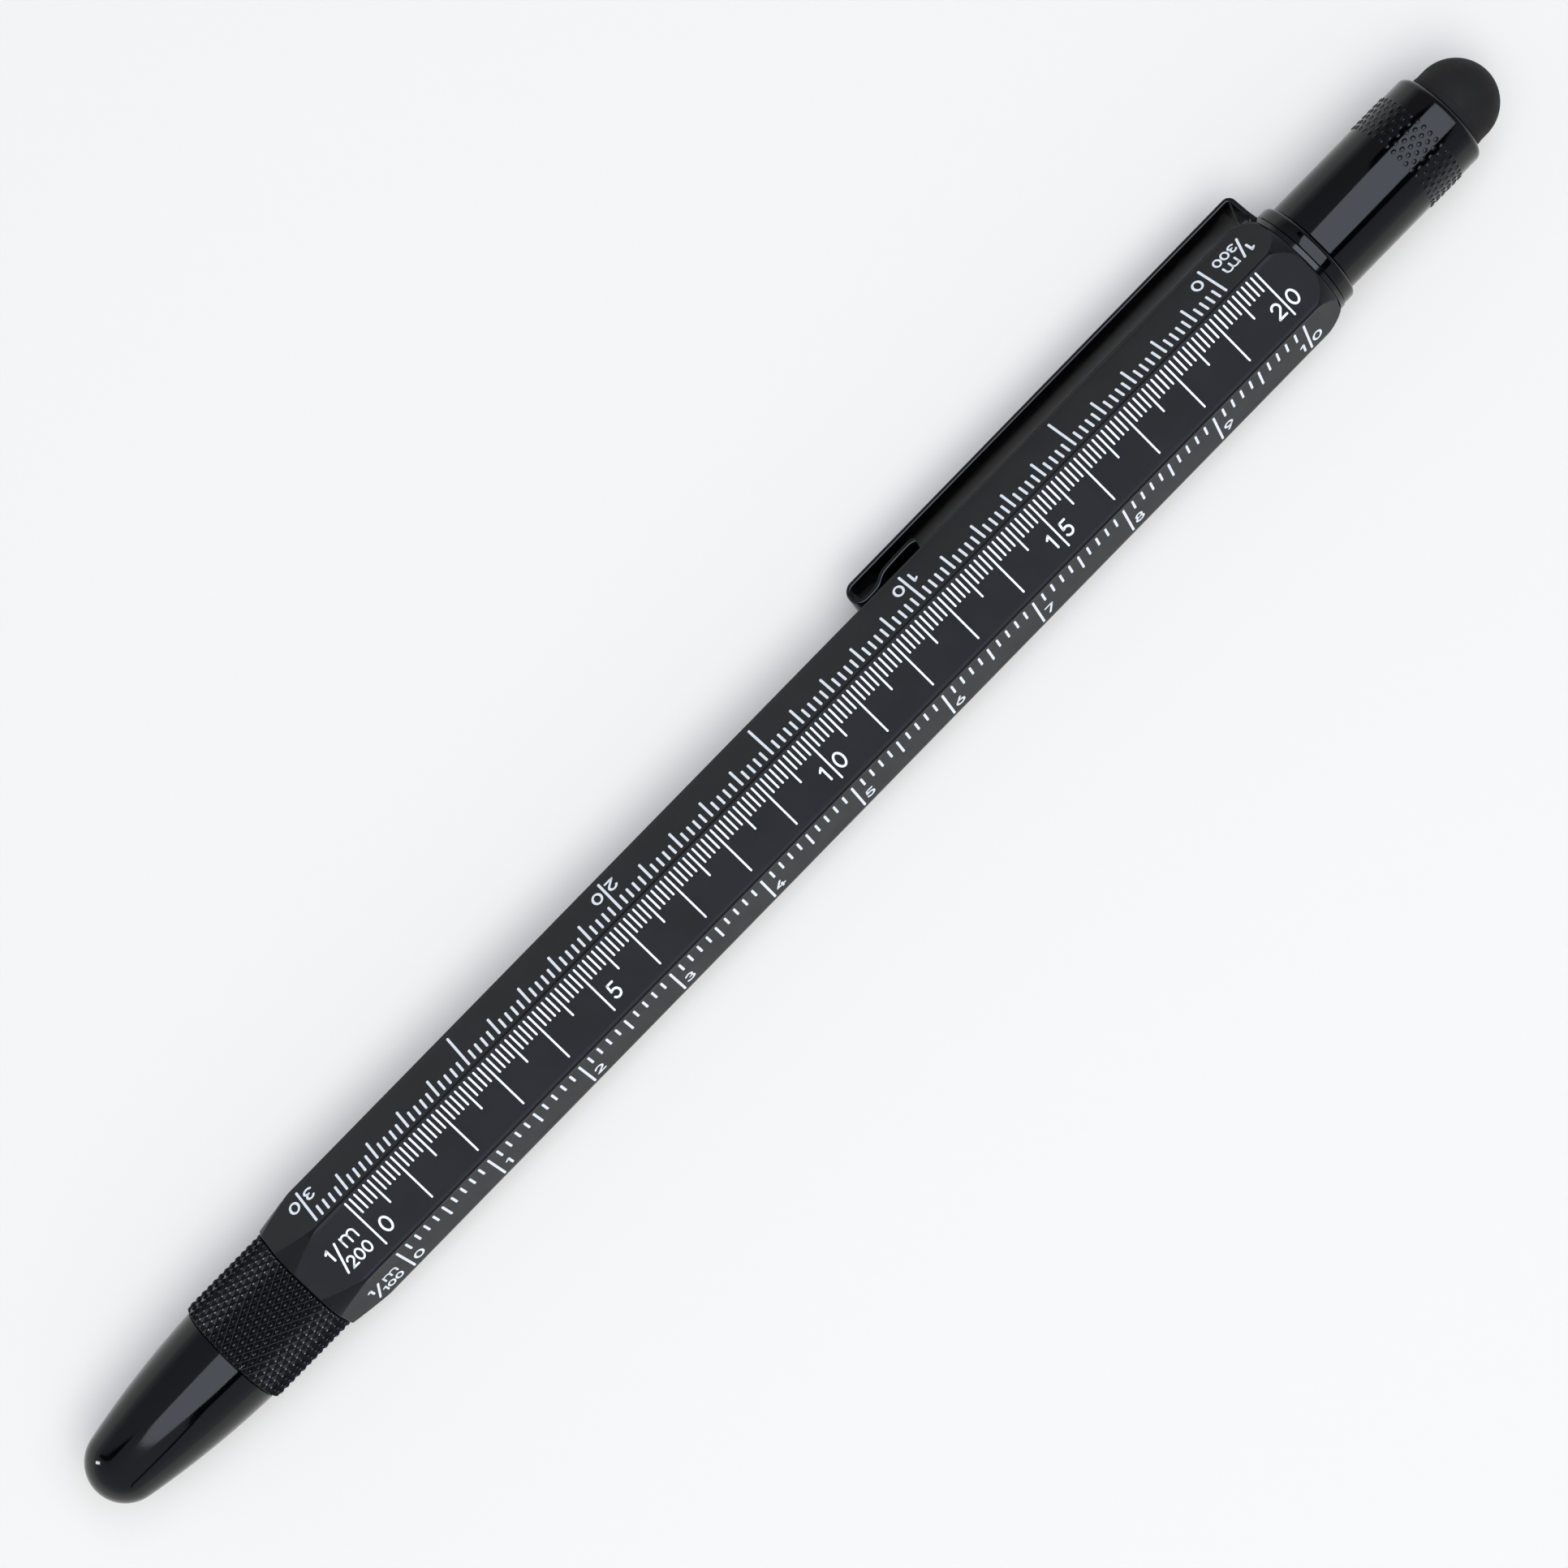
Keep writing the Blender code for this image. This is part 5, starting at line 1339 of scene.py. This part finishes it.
# Printed scales. A flat is counted from the scale face towards the clip's side, and places across it go the
# same way from its middle. Marks run from the foot to one of three ends, and the rhythm says how often the
# middle and the long ones come. The unit is the distance for each one counted. A single figure stands beside
# its mark, and two figures stand on either side of it.
INCH = 25.4 * MM
THIRD_PITCH = 2.0 * MM / 3.0
SCALES = {
    "200": {"flat": 0, "zero": ZERO_X, "facing": 1, "count": 201, "pitch": 0.50 * MM, "rhythm": (5, 10),
            "foot": 2.57 * MM, "ends": (1.00 * MM, 0.03 * MM, -2.00 * MM), "mark_width": FINE_MARK_WIDTH,
            "numbers": range(0, 21, 5), "unit": 5 * MM, "height": 1.41 * MM, "baseline": -1.53 * MM,
            "beside": 1.09 * MM, "split": (0.78 * MM, 0.82 * MM), "figure_width": FINE_FIGURE_WIDTH,
            "ratio_place": (0.0, 0.0)},
    "100": {"flat": -1, "zero": ZERO_X - 0.10 * MM, "facing": 1, "count": 101, "pitch": 1.00 * MM,
            "rhythm": (5, 10), "foot": 2.30 * MM, "ends": (0.73 * MM, -0.25 * MM, -2.27 * MM),
            "mark_width": PRINT_WIDTH, "numbers": range(11), "unit": 10 * MM, "height": 1.37 * MM,
            "baseline": -1.80 * MM, "beside": 0.95 * MM, "split": (0.75 * MM, 0.80 * MM),
            "figure_width": PRINT_WIDTH, "ratio_place": (0.0, -0.30 * MM)},
    "300": {"flat": 1, "zero": ZERO_X + 97.57 * MM, "facing": -1, "count": 151, "pitch": THIRD_PITCH,
            "rhythm": (5, 25), "foot": -2.33 * MM, "ends": (-0.91 * MM, 0.11 * MM, 2.07 * MM),
            "mark_width": PRINT_WIDTH, "numbers": range(0, 31, 10), "unit": 5 * THIRD_PITCH,
            "height": 1.37 * MM, "baseline": 1.47 * MM, "beside": 0.95 * MM,
            "split": (0.75 * MM, 0.80 * MM), "figure_width": PRINT_WIDTH, "ratio_place": (0.25 * MM, 0.0)},
    "inch": {"flat": -2, "zero": ZERO_X, "facing": 1, "count": 65, "pitch": INCH / 16, "rhythm": (8, 16),
             "foot": 2.30 * MM, "ends": (1.00 * MM, 0.20 * MM, -2.00 * MM), "mark_width": PRINT_WIDTH,
             "numbers": range(5), "unit": INCH, "height": 1.40 * MM, "baseline": -1.75 * MM,
             "beside": 0.95 * MM, "figure_width": PRINT_WIDTH},
}


def print_on(name, shape, flat):
    """Put a drawing on a flat, counted from the scale face towards the clip's side."""
    fit(name, shape, PRINT, "barrel", (), face_matrix(flat * HEX_SECTOR))


def print_marks(name, scale, tree):
    """Marks of one scale."""
    first = scale["zero"]
    if scale["facing"] < 0:
        first -= (scale["count"] - 1) * scale["pitch"]
    short, middle, long = [end - scale["foot"] for end in scale["ends"]]
    middle_every, long_every = scale["rhythm"]
    values = {"Count": scale["count"], "First": first, "Pitch": scale["pitch"], "Foot": scale["foot"],
              "Short": short, "Middle": middle, "Long": long, "Middle Every": middle_every,
              "Long Every": long_every, "Width": scale["mark_width"], "Sunk": PRINT_SUNK,
              "Proud": PRINT_PROUD, "Material": PRINT}
    print_on(f"marks_{name}", generate(f"marks_{name}", tree, values), scale["flat"])


def print_numbers(name, scale):
    """Numbers of one scale and its ratio, where it has one."""
    bm = bmesh.new()
    facing = scale["facing"]
    style = (scale["baseline"], scale["height"], facing, scale["figure_width"])
    for number in scale["numbers"]:
        x = scale["zero"] + facing * number * scale["unit"]
        text = str(number)
        if len(text) == 1:
            write(bm, text, x + facing * scale["beside"], *style)
        else:
            before, after = scale["split"]
            write(bm, text[0], x - facing * before, *style)
            write(bm, text[1], x + facing * after, *style)
    if "ratio_place" in scale:
        along, across = scale["ratio_place"]
        write_ratio(bm, name, scale["zero"] + along, across, facing, scale["figure_width"])
    print_on(f"numbers_{name}", bm, scale["flat"])


def make_scales():
    """Three scales on the flats that show, and the inch ruler on the hidden flat next to the level."""
    tree = mark_tree()
    for name, scale in SCALES.items():
        print_marks(name, scale, tree)
        print_numbers(name, scale)


# Writing end


def make_section():
    """Grip section with its two threads, flange and seal groove."""
    flange_end = BARREL_X + SECTION_FLANGE_LENGTH
    flange = COUNTERBORE_RADIUS - MICRO_EDGE
    thread_end = BARREL_X - SECTION_THREAD_LENGTH
    groove_end = thread_end - SEAL_GROOVE_WIDTH
    tail = BARREL_BORE - MICRO_EDGE
    crest = CAP_THREAD_BORE - 2 * MICRO_EDGE
    feed_end = CARTRIDGE_NECK_X - MICRO_EDGE
    seat_x = feed_end + CARTRIDGE_NECK_LENGTH
    tip_seat = SECTION_NOSE_X + TIP_SOCKET_DEPTH
    rows = [(SECTION_END_X, SECTION_BORE), (SECTION_END_X, tail - MICRO_EDGE)]
    rows += thread_rows(SECTION_END_X - MICRO_EDGE, flange_end + THREAD_PITCH, tail, THREAD_DEPTH)
    rows += [(flange_end, tail), (flange_end, flange), (BARREL_X, flange), (BARREL_X, crest)]
    rows += thread_rows(BARREL_X - MICRO_EDGE, thread_end, crest, THREAD_DEPTH)
    rows += [(thread_end, SEAL_GROOVE_RADIUS), (groove_end, SEAL_GROOVE_RADIUS)]
    rows += grip_outline(groove_end)
    rows += [(SECTION_NOSE_X, TIP_SOCKET_RADIUS), (tip_seat, TIP_SOCKET_RADIUS), (tip_seat, FEED_BORE)]
    rows += [(feed_end, FEED_BORE), (feed_end, NECK_BORE), (seat_x, NECK_BORE), (seat_x, SECTION_BORE)]
    fit("section_turned", turned(rows), SECTION, "section", ["grip_section"])


def grip_outline(start):
    """Taper that the fingers hold, with a soft waist and an eased nose."""
    run = SECTION_NOSE_X + GRIP_NOSE_LENGTH - start
    rows = []
    for share in spread(0.0, 1.0, 16):
        waist = GRIP_WAIST * math.sin(math.pi * share)
        rows.append((start + run * share, GRIP_RADIUS - GRIP_TAPER * share - waist))
    return rows + [(SECTION_NOSE_X + setback, radius) for setback, radius in GRIP_NOSE]


def make_feed():
    """Finned feed and spike."""
    feed_end = CARTRIDGE_NECK_X - MICRO_EDGE
    collar_x = feed_end - FEED_COLLAR_LENGTH
    pitch = (collar_x - FEED_X) / FEED_FINS
    rows = [(FEED_X, 0.0)]
    for fin in range(FEED_FINS):
        x = FEED_X + fin * pitch
        fin_end = x + FEED_FIN_SHARE * pitch
        rows += [(x, FEED_RADIUS), (fin_end, FEED_RADIUS)]
        rows += [(fin_end, FEED_ROOT_RADIUS), (x + pitch, FEED_ROOT_RADIUS)]
    rows += [(collar_x, FEED_RADIUS), (feed_end, FEED_RADIUS), (feed_end, SPIKE_RADIUS)]
    rows += [(SPIKE_END_X - SPIKE_RADIUS, SPIKE_RADIUS), (SPIKE_END_X, 0.0)]
    fit("feed_finned", turned(rows, SMALL_COLUMNS), INNER, "section", ["ink_feed"])


def make_tip():
    """Stepped metal cone that holds the writing ball, and the ball."""
    tip_x = SECTION_NOSE_X - MICRO_EDGE
    ball_low, ball_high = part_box("roller_ball")
    ball_x = (ball_low.x + ball_high.x) / 2
    ball = (ball_high.x - ball_low.x) / 2
    cup = ball + BALL_SLIP
    rows = [(TIP_STEM_X, 0.0), (TIP_STEM_X, TIP_STEM_RADIUS), (tip_x, TIP_STEM_RADIUS)]
    rows += [(tip_x, TIP_SEAT_RADIUS), (tip_x - TIP_ROOT_EDGE, TIP_ROOT_RADIUS)]
    rows += [(TIP_FACE_X + setback, radius) for setback, radius in TIP_STEPS]
    rows += [(TIP_FACE_X, ball - BALL_SLIP), (ball_x, cup), (ball_x + cup, cup), (ball_x + cup, 0.0)]
    fit("tip_cone", turned(rows, SMALL_COLUMNS), STEEL, "section", ["roller_tip"])
    sphere = turned(arc((ball_x, 0.0), ball, 180, 0, 20), SMALL_COLUMNS)
    fit("tip_ball", sphere, BALL, "ball", ["roller_ball"])


def seal(name, node, body):
    """Round sealing ring in the place of its node."""
    low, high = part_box(node)
    section = (high.x - low.x) / 2
    outer = (high.z - low.z) / 2
    rows = arc(((low.x + high.x) / 2, outer - section), section, 0, 360, 20)[:-1]
    fit(name, turned(rows, SMALL_COLUMNS), SEAL, body, [node])


def make_cartridge():
    """Clear cartridge with ink in it."""
    wall = CARTRIDGE_WALL
    radius = CARTRIDGE_RADIUS
    shoulder_x = CARTRIDGE_NECK_X + CARTRIDGE_NECK_LENGTH
    chamber_x = shoulder_x + wall
    floor = CARTRIDGE_END_X - wall
    rows = [(floor, 0.0), (floor, radius - wall, wall), (chamber_x, radius - wall, wall)]
    rows += [(chamber_x, CARTRIDGE_MOUTH_RADIUS), (CARTRIDGE_NECK_X, CARTRIDGE_MOUTH_RADIUS)]
    rows += [(CARTRIDGE_NECK_X, CARTRIDGE_NECK_RADIUS, MICRO_EDGE), (shoulder_x, CARTRIDGE_NECK_RADIUS)]
    rows += [(shoulder_x, radius, 1.5 * wall), (CARTRIDGE_END_X, radius, 1.5 * wall), (CARTRIDGE_END_X, 0.0)]
    tube = turned_smooth(rows, SMALL_COLUMNS)
    fit("cartridge_tube", tube, TUBE, "cartridge", ["ink_cartridge"])
    inner = radius - wall - INK_SLIP
    ink_x = shoulder_x + 1.2 * wall
    ink_end = CARTRIDGE_END_X - INK_AIR_LENGTH
    rows = [(ink_x, 0.0), (ink_x, inner, wall), (ink_end, inner, wall), (ink_end, 0.0)]
    fit("cartridge_ink", turned_smooth(rows, SMALL_COLUMNS), INK, "cartridge")


def make_liner():
    """Sealing cup inside the cap."""
    mouth_x = RING_X - LINER_SETBACK
    start = NOSE_X + CAP_END_WALL + MICRO_EDGE
    corner = start + CAP_END_CORNER
    floor = start + LINER_FLOOR
    end_radius = cap_bore(corner) - MICRO_EDGE - CAP_END_CORNER
    outside = [(x, cap_bore(x) - MICRO_EDGE) for x in spread(corner, mouth_x, 8)]
    inside = [(x, cap_bore(x) - MICRO_EDGE - LINER_WALL) for x in spread(mouth_x, corner + LINER_FLOOR, 8)]
    rows = [(start, 0.0), (start, end_radius)] + outside + inside
    rows += [(floor, end_radius - LINER_WALL), (floor, 0.0)]
    fit("cap_lining", turned(rows, SMALL_COLUMNS), LINER, "cap", ["cap_liner"])


# Tool end


def six_sided(radius, edge, x):
    """Corners of a small hexagon, its edges broken."""
    points = []
    for index in range(6):
        middle = (index + 0.5) * HEX_SECTOR
        points += [(x, *around(middle - edge, radius)), (x, *around(middle + edge, radius))]
    return points


def bit_radius(angle):
    """Distance from the axis to the shank's side, limited at its corners."""
    corner = BIT_HALF_ACROSS / math.cos(HEX_SECTOR / 2) - BIT_CORNER_BREAK
    return min(BIT_HALF_ACROSS / math.cos(off_face(angle)), corner)


def blade_points(angles):
    """Rows of a flat blade that grows out of the round neck."""
    rows = []
    for setback, thickness, width in BLADE_STEPS:
        row = []
        for angle in angles:
            y, z = around(angle, BIT_NECK_RADIUS)
            across = max(-width, min(width, y * BLADE_SPREAD_SHARE))
            row.append((BIT_X + setback, across, max(-thickness, min(thickness, z))))
        rows.append(row)
    return rows


def cross_points(angles):
    """Rows of a cross point: four wings that narrow to a blunt tip."""
    rows = []
    for share in spread(0.0, 1.0, 10):
        taper = max(share - CROSS_STRAIGHT_SHARE, 0.0) / (1.0 - CROSS_STRAIGHT_SHARE)
        reach = BIT_NECK_RADIUS + (CROSS_TIP_RADIUS - BIT_NECK_RADIUS) * taper
        core = max(CROSS_CORE_RADIUS, reach * CROSS_CORE_SHARE)
        row = []
        for angle in angles:
            wing = min(abs(math.sin(2 * angle)) * CROSS_WING_SHARE, 1.0)
            depth = min(share * CROSS_FLUTE_SHARE, 1.0) * (reach - core) * wing
            place = BIT_END_X - BIT_POINT_LENGTH * (1.0 - share)
            row.append((place, *around(angle, reach - max(depth, 0.0))))
        rows.append(row)
    return rows


def make_bit():
    """Double-ended bit: hexagon shank with eased ends, a cross point outside and a blade inside."""
    angles = [math.tau * index / BIT_COLUMNS for index in range(BIT_COLUMNS)]

    def neck(x):
        return [(x, *around(angle, BIT_NECK_RADIUS)) for angle in angles]

    def shank(x, share=1.0):
        return [(x, *around(angle, bit_radius(angle) * share)) for angle in angles]

    start = BIT_X + BIT_END_LENGTH
    end = BIT_END_X - BIT_END_LENGTH
    rows = blade_points(angles) + [neck(BIT_X + BIT_POINT_LENGTH), neck(start - BIT_NECK_SETBACK)]
    rows += [shank(start, BIT_EASE_SHARE), shank(start + BIT_EASE_LENGTH)]
    rows += [shank(end - BIT_EASE_LENGTH), shank(end, BIT_EASE_SHARE), neck(end + BIT_NECK_SETBACK)]
    bm = bmesh.new()
    skin(bm, [[bm.verts.new(point) for point in row] for row in rows + cross_points(angles)])
    fit("bit_double", bm, STEEL, "bit", ["driver_bit"])


def make_holder():
    """Spindle with the six-sided socket, and the magnet at its bottom."""
    head_end = HOLDER_X + HOLDER_HEAD_LENGTH
    outline = [(HOLDER_X, 0.0), (HOLDER_X, HOLDER_HEAD_RADIUS, MICRO_EDGE), (head_end, HOLDER_HEAD_RADIUS),
               (head_end, HOLDER_RADIUS), (HOLDER_END_X, HOLDER_RADIUS, 2 * MICRO_EDGE), (HOLDER_END_X, 0.0)]
    corner = SOCKET_HALF_ACROSS / math.cos(HEX_SECTOR / 2)
    socket = prism_body(six_sided(corner, SOCKET_EDGE_ANGLE, MAGNET_X - MICRO_EDGE),
                        (HOLDER_END_X - MAGNET_X + CUT_OVERRUN, 0.0, 0.0))
    mesh = carve(turned_smooth(outline, SMALL_COLUMNS), socket)
    fit("socket_holder", mesh, DARK_STEEL, "barrel", ["bit_holder"])
    disc = [(MAGNET_X, 0.0), (MAGNET_X, MAGNET_RADIUS, MICRO_EDGE),
            (MAGNET_END_X, MAGNET_RADIUS, 2 * MICRO_EDGE), (MAGNET_END_X, 0.0)]
    fit("socket_magnet", turned_smooth(disc, SMALL_COLUMNS), STEEL, "barrel", ["bit_magnet"])


# Level


def make_level():
    """Vial with its two lines, seated in the cradle behind the slot."""
    aside = Matrix.Rotation(math.pi, 4, "X") @ Matrix.Translation((0.0, 0.0, VIAL_OFF_AXIS))
    tube = [(VIAL_X, VIAL_BORE), (VIAL_X, VIAL_RADIUS, 2 * MICRO_EDGE),
            (VIAL_END_X, VIAL_RADIUS, 2 * MICRO_EDGE), (VIAL_END_X, VIAL_BORE)]
    fit("vial_tube", turned_smooth(tube, SMALL_COLUMNS), VIAL, "barrel", ["level_vial"], aside)
    low = VIAL_RADIUS - VIAL_LINE_SUNK
    high = VIAL_RADIUS + VIAL_LINE_PROUD
    for name, side in (("vial_line_front", -1), ("vial_line_rear", 1)):
        start = LEVEL_X + side * VIAL_LINE_OFFSET - VIAL_LINE_WIDTH / 2
        end = start + VIAL_LINE_WIDTH
        line = turned([(start, low), (start, high), (end, high), (end, low)], SMALL_COLUMNS)
        fit(name, line, SEAL, "barrel", (), aside)


def repaint(node, material):
    """Give a node that keeps its own shape a better finish."""
    frame["nodes"][node].data.materials.clear()
    frame["nodes"][node].data.materials.append(material)


def repaint_level():
    """Finishes of the level's pieces that keep their shape."""
    for node in ("level_carrier", "level_plug_front", "level_plug_rear"):
        repaint(node, LINER)
    repaint("level_fluid", FLUID)
    repaint("level_bubble", BUBBLE)


# Stage, light and camera

TABLE_HALF = 4.0
TABLE_GAP = 0.02 * MM
TABLE_COLOUR = (0.812, 0.778, 0.730)
TABLE_OWN_SHARE = 0.30
TABLE_CREVICE = 4.0 * MM
TABLE_NEAR = 0.15
TABLE_FAR = 0.90

# Lit panel and the black boards round it, as corners (x, y) at the panel's height. The front and rear boards
# share an edge with the panel.
PANEL_HEIGHT = 0.70
PANEL_COLOUR = (0.86, 0.96, 1.10)
PANEL_STRENGTH = 3.05
PANEL_CUT_CORNER = [(-0.35, -0.385), (-0.29, -0.450), (-0.245, -0.462)]
PANEL_CORNERS = [(0.42, -0.43), (0.42, 0.41), (0.21, 0.37), (-0.22, 0.205), (-0.39, 0.20), (-0.42, 0.12),
                 (-0.42, -0.28), *PANEL_CUT_CORNER]
BLACK_BOARDS = {
    "panel_edge_front": [(0.42, -0.43), *PANEL_CUT_CORNER[::-1], (-0.43, -0.69), (0.42, -0.72)],
    "panel_edge_rear": [(0.42, 0.41), (0.42, 0.64), (0.26, 0.62), (0.21, 0.37)],
    "side_board_near": [(-0.46, 0.42), (-0.54, 0.44), (-1.40, 2.10), (-1.25, 2.10)],
    "side_board_far": [(-0.43, -0.69), (-0.38, -0.70), (-1.28, -2.00), (-1.36, -1.95)],
}

WORLD_HORIZON = (0.69, 0.71, 0.74)
WORLD_PALE_HEIGHT = 0.28
WORLD_DIM_SIDE = (0.25, 0.25, 0.28)
WORLD_BRIGHT_SIDE = (0.54, 0.60, 0.70)
BRIGHT_DIRECTION = (-0.86, -0.51, 0.0)
BRIGHT_REACH = 0.70

KEY_PLACE = (-0.12, -0.30, 0.62)
KEY_WIDTH = 0.34
KEY_COLOUR = (1.0, 0.90, 0.78)
KEY_POWER = 1.1
GLINT_PLACE = (-0.771, 0.683, 0.230)
GLINT_SIZE = (0.10, 0.26)
GLINT_POWER = 1.7

CAMERA_LENS = 111.18
CAMERA_LEAN = math.radians(1.40)
CAMERA_TURN = math.radians(45.631)
CAMERA_PLACE = Vector((-10.16, -0.81, 382.0)) * MM


def make_floor():
    """Pale table that the pen lies on."""
    mesh = bpy.data.meshes.new("table_top")
    corners = [(-1, -1), (1, -1), (1, 1), (-1, 1)]
    mesh.from_pydata([(x * TABLE_HALF, y * TABLE_HALF, -TABLE_GAP) for x, y in corners], [], [range(4)])
    mesh.materials.append(table_white())
    placed("table_top", mesh)


def table_white():
    """Matt white with a share of light of its own, so that the table stays pale and keeps a soft shadow.

    The share shows to the camera and in mirrors only. It fades out in the crevice under the pen, which paints
    shade there, and grows with the distance, where the tone goes over into the horizon's.
    """
    material = finish("table_white", TABLE_COLOUR, 1.0, specular=0.0)
    nodes = material.node_tree.nodes
    rays = add(material, "ShaderNodeLightPath").outputs
    seen = combine(material, "MAXIMUM", rays["Is Camera Ray"], rays["Is Glossy Ray"])
    seen = combine(material, "MAXIMUM", seen, rays["Is Transmission Ray"])
    # Ambient occlusion takes the table's own light away close under the pen: painted shade in that crevice
    painted_crevice_shade = add(material, "ShaderNodeAmbientOcclusion", Distance=TABLE_CREVICE)
    seen = combine(material, "MULTIPLY", seen, painted_crevice_shade.outputs["AO"])
    place = add(material, "ShaderNodeTexCoord")
    distance = add(material, "ShaderNodeVectorMath", operation="LENGTH")
    wire(material, place.outputs["Object"], distance.inputs[0])
    far = ramp(material, distance.outputs["Value"], TABLE_NEAR, TABLE_FAR)
    seen = combine(material, "MULTIPLY", seen, ramp(material, far, 0.0, 1.0, TABLE_OWN_SHARE, 1.0))
    own = add(material, "ShaderNodeEmission")
    wire(material, colour_between(material, far, TABLE_COLOUR, WORLD_HORIZON), own.inputs["Color"])
    both = add(material, "ShaderNodeMixShader")
    wire(material, seen, both.inputs[0])
    wire(material, nodes["Principled BSDF"].outputs[0], both.inputs[1])
    wire(material, own.outputs[0], both.inputs[2])
    wire(material, both.outputs[0], nodes["Material Output"].inputs["Surface"])
    return material


def lamp(name, place, aim, size, power):
    """Rectangular soft lamp that points at aim."""
    data = bpy.data.lights.new(name, "AREA")
    data.shape = "RECTANGLE"
    data.size, data.size_y = size
    data.energy = power
    light = placed(name, data)
    light.location = place
    light.rotation_euler = (Vector(place) - Vector(aim)).to_track_quat("Z", "Y").to_euler()
    light.visible_camera = False
    return light


def overhead_board(name, corners, material):
    """Flat board at the panel's height, which the polished parts mirror and the camera never sees."""
    mesh = bpy.data.meshes.new(name)
    mesh.from_pydata([(x, y, PANEL_HEIGHT) for x, y in corners], [], [range(len(corners))])
    mesh.materials.append(material)
    board = placed(name, mesh)
    board.visible_camera = False
    return board


def make_black_boards():
    """Black boards beside the panel, which take nothing from the light on the table."""
    black = finish("board_black", (0.0, 0.0, 0.0), 1.0, specular=0.0)
    for name, corners in BLACK_BOARDS.items():
        board = overhead_board(name, corners, black)
        board.visible_diffuse = False
        board.visible_shadow = False


def make_panel():
    """Lit overhead panel with its cut corner."""
    material = finish("panel_white", (0.0, 0.0, 0.0), 1.0, specular=0.0)
    inputs = shader_inputs(material)
    inputs["Emission Color"].default_value = (*PANEL_COLOUR, 1.0)
    inputs["Emission Strength"].default_value = PANEL_STRENGTH
    overhead_board("panel", PANEL_CORNERS, material)


def make_world():
    """Studio surround: pale at the horizon, and dimmer above it, on one side more than on the other."""
    world = bpy.data.worlds.new("studio")
    bpy.context.scene.world = world
    world.use_nodes = True
    direction = add(world, "ShaderNodeTexCoord").outputs["Generated"]
    split = add(world, "ShaderNodeSeparateXYZ")
    wire(world, direction, split.inputs[0])
    towards = add(world, "ShaderNodeVectorMath", operation="DOT_PRODUCT")
    towards.inputs[1].default_value = BRIGHT_DIRECTION
    wire(world, direction, towards.inputs[0])
    side = ramp(world, towards.outputs["Value"], -BRIGHT_REACH, BRIGHT_REACH)
    upper = colour_between(world, side, WORLD_DIM_SIDE, WORLD_BRIGHT_SIDE)
    height = ramp(world, split.outputs["Z"], 0.0, WORLD_PALE_HEIGHT)
    whole = colour_between(world, height, WORLD_HORIZON, upper)
    wire(world, whole, world.node_tree.nodes["Background"].inputs["Color"])


def make_camera():
    """Camera over the pen, at the photograph's distance, lean and turn."""
    data = bpy.data.cameras.new("camera")
    data.lens = CAMERA_LENS
    data.sensor_width = 36.0
    data.clip_start = 0.01
    data.clip_end = 20.0
    camera = placed("camera", data)
    along = Vector((math.cos(CAMERA_LEAN), 0.0, math.sin(CAMERA_LEAN)))
    across = Vector((0.0, 1.0, 0.0))
    right = along * math.cos(CAMERA_TURN) - across * math.sin(CAMERA_TURN)
    up = along * math.sin(CAMERA_TURN) + across * math.cos(CAMERA_TURN)
    turned_view = Matrix((right, up, right.cross(up))).transposed().to_4x4()
    camera.matrix_world = Matrix.Translation(CAMERA_PLACE) @ turned_view
    bpy.context.scene.camera = camera


def make_light():
    """Overhead panel and its black boards, a soft key from the scale's side, and a far lamp for a glint."""
    make_panel()
    make_black_boards()
    key = lamp("key", KEY_PLACE, (0.0, 0.0, 0.0), (KEY_WIDTH, KEY_WIDTH), KEY_POWER)
    key.visible_glossy = False
    key.data.color = KEY_COLOUR
    glint = lamp("glint", GLINT_PLACE, (NOSE_X, 0.0, 0.0), GLINT_SIZE, GLINT_POWER)
    glint.visible_diffuse = False


make_barrel()
make_cap()
make_knurl()
make_clip()
make_washer()
make_collar()
make_cover()
make_cover_bumps()
make_stylus()
make_scales()
make_section()
make_feed()
make_tip()
seal("section_seal", "section_oring", "section")
seal("cover_seal", "cover_oring", "barrel")
make_cartridge()
make_liner()
make_bit()
make_holder()
make_level()
repaint_level()
make_floor()
make_world()
make_light()
make_camera()

bpy.context.scene.view_settings.view_transform = "Standard"
